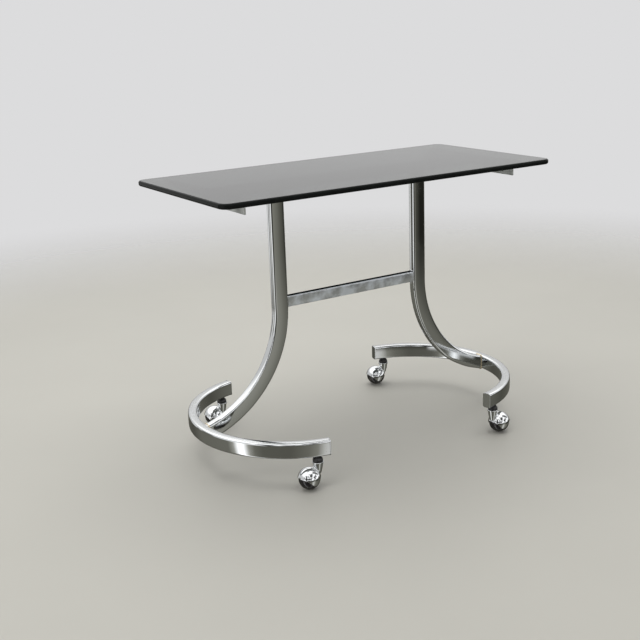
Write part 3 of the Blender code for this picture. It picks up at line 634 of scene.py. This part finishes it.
def grown(name, paths, tree_name, values, loop=False):
    """Run a node tree on paths of points and keep the plain mesh that it makes."""
    base = bmesh.new()
    for points in paths:
        corners = [base.verts.new(point) for point in points]
        for pair in zip(corners, corners[1:]):
            base.edges.new(pair)
        if loop:
            base.edges.new((corners[-1], corners[0]))
    thing = placed(name, as_mesh(name, base))
    tree = node_tree(tree_name)
    modifier = thing.modifiers.new(tree_name, "NODES")
    modifier.node_group = tree
    for socket in tree.interface.items_tree:
        if socket.in_out == "INPUT" and socket.name in values:
            modifier[socket.identifier] = values[socket.name]
    bpy.context.view_layer.update()
    graph = bpy.context.evaluated_depsgraph_get()
    made = bpy.data.meshes.new_from_object(thing.evaluated_get(graph))
    thing.modifiers.remove(modifier)
    thing.data = made
    shape = bmesh.new()
    shape.from_mesh(made)
    if not shape.faces:
        raise RuntimeError(f"{name}: the node tree made no faces")
    bmesh.ops.remove_doubles(shape, verts=shape.verts, dist=0.001 * MM)
    bmesh.ops.recalc_face_normals(shape, faces=shape.faces)
    shape.to_mesh(made)
    shape.free()
    return shaded(thing)


def tube(name, points, across, along, corner, plate="bright chrome plate on tube"):
    """A plated tube along a path."""
    values = {"Across": across, "Along": along, "Corner radius": corner, "Corner steps": 6}
    values |= {"Crown": sizes().crown, "Finish": finish(plate)}
    return grown(name, [points], "Tube along a path", values)


# ---------------------------------------------------------------- the frame's own lines


def foot_middle():
    """Height of the middle of the feet."""
    low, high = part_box("foot_left")
    return (low.z + high.z) / 2


def foot_face():
    """How far out the inner face of a foot's arc lies from its centre."""
    return sizes().foot_radius - sizes().tube_depth


def leg_line():
    """The leg's centre line out from the middle, and the centre of its bend."""
    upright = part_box("leg_right")[0].x + sizes().tube_width / 2
    centre_x = upright + sizes().bend_radius
    reach = centre_x - FOOT_CENTRE_X - foot_face()
    centre_z = foot_middle() + sqrt(sizes().bend_radius ** 2 - reach ** 2)
    return upright, centre_x, centre_z


def stem_place(corner):
    """Where a caster's stem stands, from the swivel's joint."""
    place = JOINTS[f"swivel_{corner}"]["pos_m"]
    return Vector((place[0], place[1], FLOOR))


def caster_turn(corner):
    """The caster's place and the way that it trails, from its two joints."""
    stem = stem_place(corner)
    ball = JOINTS[f"roll_{corner}"]["pos_m"]
    heading = atan2(ball[1] - stem.y, ball[0] - stem.x)
    trail = hypot(ball[1] - stem.y, ball[0] - stem.x)
    return Matrix.Translation(stem) @ Matrix.Rotation(heading, 4, "Z"), trail


# ---------------------------------------------------------------- operators


class SIDETABLE_OT_glass(bpy.types.Operator):
    """The smoked glass top with rounded corners and a pencil-ground rim"""

    bl_idname = "side_table.glass"
    bl_label = "Glass top"

    def execute(self, context):
        low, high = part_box("glass_top")
        shape = bmesh.new()
        outline = rounded_outline(high.x - low.x, high.y - low.y, sizes().glass_corner, 24)
        plate = shape.faces.new([shape.verts.new((x, y, low.z)) for x, y in outline])
        thicken(shape, plate, (0.0, 0.0, high.z - low.z))
        rims = [edge for edge in shape.edges if edge.verts[0].co.z == edge.verts[1].co.z]
        bmesh.ops.bevel(shape, geom=rims, offset=sizes().glass_rim, segments=8, profile=0.5, affect="EDGES")
        shape.normal_update()
        for face in shape.faces:
            # The two faces have the whole outline's corners, and the rest is the rim
            face.material_index = 0 if len(face.verts) > 8 else 1
        top = finished("top_of_smoked_glass", shape, "smoked float glass", "ground and polished glass rim")
        dress(top, "frame", "smoked_glass", "glass_top")
        return {"FINISHED"}


class SIDETABLE_OT_pads(bpy.types.Operator):
    """The four clear pads that the glass lies on"""

    bl_idname = "side_table.pads"
    bl_label = "Glass pads"

    def execute(self, context):
        nodes = [f"glass_pad_{corner}" for corner in CORNERS]
        boxes = [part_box(node) for node in nodes]
        thickness = boxes[0][1].z - boxes[0][0].z
        values = {"Radius": sizes().pad_radius, "Thickness": thickness, "Finish": finish("cast clear vinyl")}
        points = [[(low + high) / 2] for low, high in boxes]
        pads = grown("clear_pads", points, "Round pads on points", values)
        dress(pads, "frame", "clear_vinyl", *nodes)
        return {"FINISHED"}


class SIDETABLE_OT_arms(bpy.types.Operator):
    """The two cross arms of steel angle under the glass"""

    bl_idname = "side_table.arms"
    bl_label = "Cross arms"

    def execute(self, context):
        flat, ease = radians(1.0), sizes().arm_ease
        for side in SIDES:
            node = f"cross_arm_{side}"
            shape = bmesh.new()
            shape.from_mesh(frame["nodes"][node].data)
            bmesh.ops.remove_doubles(shape, verts=shape.verts, dist=0.01 * MM)
            bmesh.ops.dissolve_limit(shape, angle_limit=flat, verts=shape.verts, edges=shape.edges)
            bmesh.ops.bevel(shape, geom=shape.edges[:], offset=ease, segments=3, profile=0.5, affect="EDGES")
            arm = finished(f"angle_arm_{side}", shape, "zinc-plated steel angle")
            dress(arm, "frame", "plated_steel", node)
        return {"FINISHED"}


class SIDETABLE_OT_tubes(bpy.types.Operator):
    """The rail under the glass, the legs, the stretcher and the feet, swept in chrome tube"""

    bl_idname = "side_table.tubes"
    bl_label = "Tubes"

    def execute(self, context):
        size = sizes()
        low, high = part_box("top_rail")
        middle = (low.z + high.z) / 2
        line = [(low.x, 0.0, middle), (high.x, 0.0, middle)]
        rail = tube("tube_rail", line, size.tube_width, size.tube_depth, size.tube_corner)
        dress(rail, "frame", "chrome", "top_rail")
        self.make_legs(size, low.z)
        self.make_feet(size)
        low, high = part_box("stretcher")
        middle = (low.z + high.z) / 2
        reach = leg_line()[0] - size.tube_width / 2 + SEAM
        line = [(-reach, 0.0, middle), (reach, 0.0, middle)]
        # The stretcher's plate, with painted sheen and a painted dark reflection on top
        plate = "clouded chrome plate on tube"
        bar = tube("tube_stretcher", line, size.bar_depth, size.bar_height, size.bar_corner, plate)
        dress(bar, "frame", "chrome", "stretcher")
        return {"FINISHED"}

    def make_legs(self, size, rail_bottom):
        """Legs from inside the rail's wall to inside the foot's wall."""
        upright, centre_x, centre_z = leg_line()
        # The end is cut square to the tube, so it goes this far in for its short side to reach the foot
        sunk = 4.6 * MM
        last = acos((centre_x - (FOOT_CENTRE_X + foot_face() + sunk)) / size.bend_radius)
        steps = 72
        for side, facing in SIDES.items():
            points = [(facing * upright, 0.0, rail_bottom + 2 * SEAM)]
            points.append((facing * upright, 0.0, (rail_bottom + centre_z) / 2))
            for step in range(steps + 1):
                turn = last * step / steps
                x = centre_x - size.bend_radius * cos(turn)
                points.append((facing * x, 0.0, centre_z - size.bend_radius * sin(turn)))
            leg = tube(f"tube_leg_{side}", points, size.tube_width, size.tube_depth, size.tube_corner)
            dress(leg, "frame", "chrome", f"leg_{side}")

    def make_feet(self, size):
        """Feet, each one arc of tube on edge."""
        line = size.foot_radius - size.tube_depth / 2
        half = size.foot_half - (size.cap_thickness + SEAM) / line
        steps = 72
        for side, facing in SIDES.items():
            points = []
            for step in range(2 * steps + 1):
                turn = half * (step / steps - 1)
                x = FOOT_CENTRE_X + line * cos(turn)
                points.append((facing * x, line * sin(turn), foot_middle()))
            foot = tube(f"tube_foot_{side}", points, size.tube_depth, size.tube_width, size.tube_corner)
            dress(foot, "frame", "chrome", f"foot_{side}")


class SIDETABLE_OT_end_plates(bpy.types.Operator):
    """The plates that close the ends of the feet"""

    bl_idname = "side_table.end_plates"
    bl_label = "End plates"

    def execute(self, context):
        size = sizes()
        line = size.foot_radius - size.tube_depth / 2
        for corner in CORNERS:
            facing = -1 if "left" in corner else 1
            end = -1 if "front" in corner else 1
            turn = Matrix.Rotation(end * size.foot_half, 3, "Z")
            shape = bmesh.new()
            corners = []
            for out, up in rounded_outline(size.tube_depth, size.tube_width, size.tube_corner, 6):
                point = turn @ Vector((line + out, 0.0, up))
                place = (facing * (FOOT_CENTRE_X + point.x), point.y, foot_middle() + point.z)
                corners.append(shape.verts.new(place))
            outer = shape.faces.new(corners)
            rim = list(outer.edges)
            back = turn @ Vector((0.0, -end * size.cap_thickness, 0.0))
            thicken(shape, outer, (facing * back.x, back.y, 0.0))
            bmesh.ops.bevel(shape, geom=rim, offset=size.cap_ease, segments=4, profile=0.5, affect="EDGES")
            plate = finished(f"end_plate_{corner}", shape, "bright chrome plate on tube")
            dress(plate, "frame", "chrome", f"foot_end_cap_{corner}")
        return {"FINISHED"}


class SIDETABLE_OT_welds(bpy.types.Operator):
    """The weld beads where tubes meet, plated over"""

    bl_idname = "side_table.welds"
    bl_label = "Weld beads"

    def execute(self, context):
        size = sizes()
        upright, centre_x, centre_z = leg_line()
        half = size.tube_width / 2
        rail_low, rail_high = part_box("top_rail")
        bar_low, bar_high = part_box("stretcher")
        bar_middle = (bar_low.z + bar_high.z) / 2
        loops, lines, brazed = [], [], []
        for facing in SIDES.values():
            brazed.append(self.leg_to_foot(size, facing, centre_x, centre_z))
            ring = rounded_outline(size.bar_depth, size.bar_height, size.bar_corner, 3)
            loops.append([(facing * (upright - half), y, bar_middle + z) for y, z in ring])
            side = size.tube_depth / 2 - size.tube_corner
            for edge in (upright - half, upright + half):
                lines.append([(facing * edge, -side, rail_low.z), (facing * edge, side, rail_low.z)])
            lines.append(self.rail_to_arm(size, facing * rail_high.x, rail_low.z, rail_high.z))
        chrome, brass = "bright chrome plate on tube", "brazed brass fillet"
        for name, paths, radius, metal, loop in (
            ("weld_beads_round", loops, size.bead_radius, chrome, True),
            ("weld_beads_under_rail", lines, size.bead_radius, chrome, False),
            ("brazed_beads_at_feet", brazed, size.braze_radius, brass, True),
        ):
            values = {"Bead radius": radius, "Ripple pitch": size.bead_pitch, "Finish": finish(metal)}
            dress(grown(name, paths, "Weld bead along a path", values, loop), "frame", "chrome")
        return {"FINISHED"}

    def leg_to_foot(self, size, facing, centre_x, centre_z):
        """The line where a leg's outside meets the inner face of the foot's arc."""
        line = []
        for across, y in rounded_outline(size.tube_width, size.tube_depth, size.tube_corner, 4):
            face_x = FOOT_CENTRE_X + sqrt(foot_face() ** 2 - y ** 2)
            radius = size.bend_radius + across
            line.append((facing * face_x, y, centre_z - sqrt(radius ** 2 - (centre_x - face_x) ** 2)))
        return line

    def rail_to_arm(self, size, x, low, high):
        """Down one side of the rail, under it and up the other side."""
        half = size.tube_width / 2
        ease = size.tube_corner
        profile = [(-half, high - ease)]
        profile += arc((-half + ease, low + ease), ease, pi, 1.5 * pi, 4)
        profile += arc((half - ease, low + ease), ease, 1.5 * pi, 2 * pi, 4)
        profile.append((half, high - ease))
        return [(x, across, up) for across, up in profile]


class SIDETABLE_OT_sockets(bpy.types.Operator):
    """The black nylon sockets with their bell-shaped collars"""

    bl_idname = "side_table.sockets"
    bl_label = "Caster sockets"

    def execute(self, context):
        sleeve, lip, ease = 5.7 * MM, 6.3 * MM, 0.4 * MM
        # The bell starts at the first of these shares of the collar's height and rises by the second
        start, swell = 0.2, 0.55
        steps = 16
        for corner in CORNERS:
            node = f"caster_socket_{corner}"
            low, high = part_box(node)
            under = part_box(f"foot_{corner.split('_')[1]}")[0].z - SEAM
            reach = (high.x - low.x) / 2
            rise = under - low.z
            rows = [(STEM_BORE, low.z)] + arc((reach - ease, low.z + ease), ease, -pi / 2, 0.0, 4)
            for step in range(steps + 1):
                turn = step / steps * pi / 2
                radius = lip + (reach - lip) * cos(turn)
                rows.append((radius, low.z + rise * (start + swell * sin(turn))))
            rows += [(lip, under), (sleeve, under), (sleeve, high.z), (STEM_BORE, high.z)]
            shape = lathe(rows, segments=64, closed=True)
            place = stem_place(corner)
            bmesh.ops.translate(shape, verts=shape.verts, vec=(place.x, place.y, 0.0))
            socket = finished(f"nylon_socket_{corner}", shape, "moulded black nylon")
            dress(socket, "frame", "black_plastic", node)
        return {"FINISHED"}


class SIDETABLE_OT_hoods(bpy.types.Operator):
    """The die-cast hoods over the balls, with their necks and flanges"""

    bl_idname = "side_table.hoods"
    bl_label = "Caster hoods"

    def execute(self, context):
        for corner in CORNERS:
            turn, trail = caster_turn(corner)
            node = f"caster_hood_{corner}"
            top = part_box(node)[1].z - FLOOR
            shape = bmesh.new()
            self.add_shell(shape, trail)
            self.add_neck(shape, top)
            self.add_fillet(shape, trail, top)
            bmesh.ops.transform(shape, matrix=turn, verts=shape.verts)
            hood = finished(f"cast_hood_{corner}", shape, "bright chrome plate on die casting")
            dress(hood, f"swivel_{corner}", "hood_chrome", node)
        return {"FINISHED"}

    def outside(self):
        """Outside radius of the hood."""
        size = sizes()
        return size.ball_radius + size.hood_gap + size.hood_wall

    def edge_level(self, heading):
        """Level of the lower edge at a heading from the trailing side, where the ears dip at the axle."""
        size = sizes()
        lean = heading - size.ear_lean * sin(heading)
        ears = abs(sin(lean)) ** size.ear_sharpness
        return size.hood_rim - size.ear_depth * ears + size.hood_wall / 2 / self.outside()

    def add_shell(self, shape, trail):
        """Outer face, rounded edge and inner face of the shell over the ball."""
        size = sizes()
        segments, rings, rim_steps = 128, 26, 6
        half = size.hood_wall / 2
        middle = self.outside() - half
        centre = Vector((trail, 0.0, size.ball_radius))
        rows = [[shape.verts.new(centre + Vector((0.0, 0.0, middle + half)))]]
        plan = [(half, step / rings, 0.0) for step in range(1, rings + 1)]
        for step in range(1, rim_steps):
            turn = pi * step / rim_steps
            plan.append((half * cos(turn), 1.0, half * sin(turn)))
        plan += [(-half, step / rings, 0.0) for step in range(rings, 0, -1)]
        for out, share, below in plan:
            row = []
            for segment in range(segments):
                heading = 2 * pi * segment / segments
                level = pi / 2 - (pi / 2 - self.edge_level(heading)) * share
                flat = Vector((cos(heading), sin(heading), 0.0))
                away = flat * cos(level) + Vector((0.0, 0.0, sin(level)))
                up = Vector((0.0, 0.0, cos(level))) - flat * sin(level)
                row.append(shape.verts.new(centre + away * (middle + out) - up * below))
            rows.append(row)
        rows.append([shape.verts.new(centre + Vector((0.0, 0.0, middle - half)))])
        join_rings(shape, rows)

    def neck_radius(self, share):
        """Radius of the neck at a share of its height, from a narrow waist to a broad shoulder."""
        waist, shoulder = 6.0 * MM, 9.2 * MM
        start = 0.16
        if share < start:
            return waist * sin(acos(1.0 - share / start))
        return waist + (shoulder - waist) * sin((share - start) / (1.0 - start) * pi / 2)

    def neck_heights(self, top):
        """Lowest point of the neck and the underside of its flange."""
        size = sizes()
        above_rim, flange_depth = 0.08, 2.8 * MM
        low = size.ball_radius + self.outside() * (sin(size.hood_rim) + above_rim)
        return low, top - flange_depth

    def add_neck(self, shape, top):
        """Neck, round-edged flange and blind bore for the stem."""
        low, flange = self.neck_heights(top)
        flange_radius, depth, ease = 10.8 * MM, 10.3 * MM, 0.9 * MM
        steps = 40
        rows = [(0.0, low)]
        for step in range(1, steps + 1):
            rows.append((self.neck_radius(step / steps), low + (flange - low) * step / steps))
        rows += arc((flange_radius - ease, flange + ease), ease, -pi / 2, 0.0, 6)
        rows += arc((flange_radius - ease, top - ease), ease, 0.0, pi / 2, 6)
        rows += [(STEM_BORE, top), (STEM_BORE, top - depth), (0.0, top - depth)]
        mesh = as_mesh("neck", lathe(rows, segments=96))
        shape.from_mesh(mesh)
        bpy.data.meshes.remove(mesh)

    def add_fillet(self, shape, trail, top):
        """A cast fillet that fades out where the neck leaves the side of the hood."""
        size = sizes()
        low, flange = self.neck_heights(top)
        centre = Vector((trail, 0.0, size.ball_radius))
        outside = self.outside()
        limit = radians(100.0)
        steps, parts = 48, 8
        # The search for where the neck meets the hood goes down the neck by these shares of its height
        down, lowest = 0.004, 0.05
        # What is left of the fillet where it fades out, and how deep its inner corner lies in the hood, in mm
        thin, buried = 0.05, 0.8
        rows = []
        for step in range(2 * steps + 1):
            turn = limit * (step / steps - 1)
            out = Vector((cos(turn), sin(turn), 0.0))
            share = 1.0
            while share > lowest:
                point = out * self.neck_radius(share) + Vector((0.0, 0.0, low + (flange - low) * share))
                if (point - centre).length < outside:
                    break
                share -= down
            reach = size.neck_fillet * sqrt(max(0.0, 1.0 - (turn / limit) ** 2)) + thin * MM
            upper = min(1.0, share + reach / (flange - low))
            above = out * self.neck_radius(upper) + Vector((0.0, 0.0, low + (flange - low) * upper))
            normal = (point - centre).normalized()
            along = (out - normal * out.dot(normal)).normalized()
            below = centre + (point + along * reach - centre).normalized() * outside
            row = []
            for part in range(parts + 1):
                share = part / parts
                blend = above * (1 - share) ** 2 + point * 2 * share * (1 - share) + below * share ** 2
                row.append(shape.verts.new(blend))
            row.append(shape.verts.new(point - out * buried * MM - normal * buried * MM))
            rows.append(row)
        join_rings(shape, rows)
        for end in (rows[0], rows[-1]):
            shape.faces.new(end)


class SIDETABLE_OT_balls(bpy.types.Operator):
    """The ball wheels, flat at their axle ends"""

    bl_idname = "side_table.balls"
    bl_label = "Ball wheels"

    def execute(self, context):
        size = sizes()
        limit = asin(size.ball_flat / size.ball_radius)
        flat_radius = size.ball_radius * cos(limit)
        bore, recess, edge, moulding = 2.8 * MM, 0.6 * MM, 1.2 * MM, 0.08 * MM
        rim, floor = flat_radius - edge, size.ball_flat - recess
        steps = 32
        rows = [(bore, -floor), (rim, -floor), (rim, -size.ball_flat)]
        for step in range(2 * steps + 1):
            level = limit * (step / steps - 1)
            # A fine moulding line runs round the middle
            line = moulding if step == steps else 0.0
            rows.append(((size.ball_radius - line) * cos(level), size.ball_radius * sin(level)))
        rows += [(rim, size.ball_flat), (rim, floor), (bore, floor)]
        for corner in CORNERS:
            turn, trail = caster_turn(corner)
            shape = lathe(rows, segments=96, closed=True)
            centre = Matrix.Translation((trail, 0.0, size.ball_radius)) @ Matrix.Rotation(pi / 2, 4, "X")
            bmesh.ops.transform(shape, matrix=turn @ centre, verts=shape.verts)
            ball = finished(f"rubber_ball_{corner}", shape, "moulded hard rubber")
            dress(ball, f"wheel_{corner}", "dark_ball", f"ball_wheel_{corner}")
        return {"FINISHED"}


class SIDETABLE_OT_hidden_steel(bpy.types.Operator):
    """The finish of the stems, axles and grip rings, whose own solids stay"""

    bl_idname = "side_table.hidden_steel"
    bl_label = "Stems and axles"

    def execute(self, context):
        for corner in CORNERS:
            for piece in ("caster_stem", "wheel_axle", "grip_ring"):
                node = frame["nodes"][f"{piece}_{corner}"]
                for slot in node.material_slots:
                    slot.material = finish("machined steel")
        return {"FINISHED"}


class SIDETABLE_OT_stage(bpy.types.Operator):
    """The pale floor, the soft studio light and the camera"""

    bl_idname = "side_table.stage"
    bl_label = "Studio"

    def execute(self, context):
        self.make_floor()
        self.make_world(context.scene)
        for softbox in SOFTBOXES:
            self.make_light(*softbox)
        self.make_camera(context.scene)
        context.scene.view_settings.view_transform = "Standard"
        return {"FINISHED"}

    def make_floor(self):
        """A round floor."""
        shape = bmesh.new()
        bmesh.ops.create_circle(shape, cap_ends=True, segments=96, radius=FLOOR_RADIUS)
        bmesh.ops.translate(shape, verts=shape.verts, vec=(0.0, 0.0, FLOOR))
        floor = placed("studio_floor", as_mesh("studio_floor", shape))
        floor.data.materials.append(finish("sealed floor"))

    def make_world(self, scene):
        """Pale behind the table, with a dim room in front of it for the chrome to mirror."""
        world = bpy.data.worlds.new("studio")
        world.use_nodes = True
        scene.world = world
        tree = world.node_tree
        tree.nodes.clear()
        direction = add(tree, "TexCoord").outputs["Generated"]
        way = add(tree, "SeparateXYZ", {0: direction}).outputs
        ramps = {}
        # Each ramp's axis, the limits on it and what it gives there
        for ramp, axis, start, end, first, last in (
            # Brighter overhead
            ("rise", "Z", 0.28, 0.6, 0.78, 1.9),
            # Towards the front, below the zenith
            ("front", "Y", 0.1, -0.3, 0.0, 1.0),
            ("low", "Z", 0.97, 0.8, 0.0, 1.0),
            # From the walls down to the floor, and from those to what is above the horizon
            ("down", "Z", -0.2, -0.31, 0.0, 1.0),
            ("up", "Z", -0.06, 0.03, 0.0, 1.0),
        ):
            limits = {"From Min": start, "From Max": end, "To Min": first, "To Max": last}
            ramps[ramp] = add(tree, "MapRange", {"Value": way[axis], **limits}, interpolation_type="SMOOTHSTEP")
        # Above the horizon: pale behind and bright overhead, with dim things in front
        thing = add(tree, "TexNoise", {"Vector": direction, "Scale": 3.4, "Detail": 3.0})
        thing = add(tree, "MapRange", {"Value": thing, "From Min": 0.44, "From Max": 0.56})
        thing = add(tree, "MapRange", {"Value": thing, "To Min": 0.03, "To Max": 1.7})
        dim = add(tree, "Math", {0: ramps["front"], 1: ramps["low"]}, operation="MULTIPLY")
        above = add(tree, "Mix", {"Factor": dim, 2: ramps["rise"], 3: thing})
        # Below it: walls, windows and doorways by their bearing, over the floor further down
        bearing = add(tree, "Math", {0: way["Y"], 1: way["X"]}, operation="ARCTAN2")
        bearing = add(tree, "MapRange", {"Value": bearing, "From Min": -pi, "From Max": pi})
        tint = colours().mirrored_floor[:3]
        rooms = []
        for levels in (WALLS, GROUND):
            room = add(tree, "ValToRGB", {"Fac": bearing})
            stops = room.color_ramp.elements
            stops.remove(stops[-1])
            for index, (degrees, level) in enumerate(levels):
                stop = stops[0] if index == 0 else stops.new(1.0)
                stop.position = (degrees + 180.0) / 360.0
                # The dim parts take the floor's tint and the bright ones stay white
                white = min(level, 1.0)
                stop.color = (*(level * (share + (1.0 - share) * white) for share in tint), 1.0)
            rooms.append(room)
        below = add(tree, "Mix", {"Factor": ramps["down"], 6: rooms[0], 7: rooms[1]}, data_type="RGBA")
        mirrored = add(tree, "Mix", {"Factor": ramps["up"], 6: below, 7: above}, data_type="RGBA")
        # Glossy rays see the room, and camera rays and rays through the glass see the backdrop
        ray = add(tree, "LightPath").outputs
        seen = add(tree, "Math", {0: ray["Is Camera Ray"], 1: ray["Is Transmission Ray"]}, operation="MAXIMUM")
        tone = add(tree, "Mix", {"Factor": ray["Is Glossy Ray"], 6: FILL_LIGHT, 7: mirrored}, data_type="RGBA")
        tone = add(tree, "Mix", {"Factor": seen, 6: tone, 7: colours().backdrop}, data_type="RGBA")
        glow = add(tree, "Background", {"Color": tone, "Strength": 1.0})
        add(tree, "OutputWorld", {"Surface": glow})

    def make_light(self, name, place, size, power):
        """A square softbox aimed at the table, left out of what the chrome mirrors."""
        lamp = bpy.data.lights.new(name, "AREA")
        lamp.size = size
        lamp.energy = power
        thing = placed(name, lamp)
        thing.location = place
        thing.rotation_euler = (Vector(LIT_POINT) - Vector(place)).to_track_quat("-Z", "Y").to_euler()
        thing.visible_camera = False
        thing.visible_glossy = False

    def make_camera(self, scene):
        """The photograph's camera: from the left in front, a little above the top."""
        lens = bpy.data.cameras.new("studio_camera")
        lens.sensor_width = SENSOR_WIDTH
        lens.lens = FOCAL_LENGTH
        camera = placed("studio_camera", lens)
        across, up = Vector(CAMERA_ACROSS), Vector(CAMERA_UP)
        turn = Matrix((across, up, across.cross(up))).transposed().to_4x4()
        camera.matrix_world = Matrix.Translation(CAMERA_PLACE) @ turn
        scene.camera = camera


STEPS = (
    SIDETABLE_OT_stage,
    SIDETABLE_OT_glass,
    SIDETABLE_OT_pads,
    SIDETABLE_OT_arms,
    SIDETABLE_OT_tubes,
    SIDETABLE_OT_end_plates,
    SIDETABLE_OT_welds,
    SIDETABLE_OT_sockets,
    SIDETABLE_OT_hoods,
    SIDETABLE_OT_balls,
    SIDETABLE_OT_hidden_steel,
)


class SIDETABLE_PT_panel(bpy.types.Panel):
    """Sizes, colours and steps of the side table"""

    bl_idname = "SIDETABLE_PT_panel"
    bl_label = "Side table"
    bl_space_type = "VIEW_3D"
    bl_region_type = "UI"
    bl_category = "Side table"

    def draw(self, context):
        for group in (context.scene.side_table_sizes, context.scene.side_table_colours):
            box = self.layout.box()
            for name in group.bl_rna.properties.keys():
                if name not in ("rna_type", "name"):
                    box.prop(group, name)
        for step in STEPS:
            self.layout.operator(step.bl_idname)


CLASSES = (TableSizes, TableColours, *STEPS, SIDETABLE_PT_panel)


def register():
    for kind in CLASSES:
        bpy.utils.register_class(kind)
    bpy.types.Scene.side_table_sizes = PointerProperty(type=TableSizes)
    bpy.types.Scene.side_table_colours = PointerProperty(type=TableColours)


def unregister():
    del bpy.types.Scene.side_table_colours
    del bpy.types.Scene.side_table_sizes
    for kind in reversed(CLASSES):
        bpy.utils.unregister_class(kind)


def main():
    register()
    for step in STEPS:
        group, name = step.bl_idname.split(".")
        getattr(getattr(bpy.ops, group), name)()


if __name__ == "__main__":
    main()
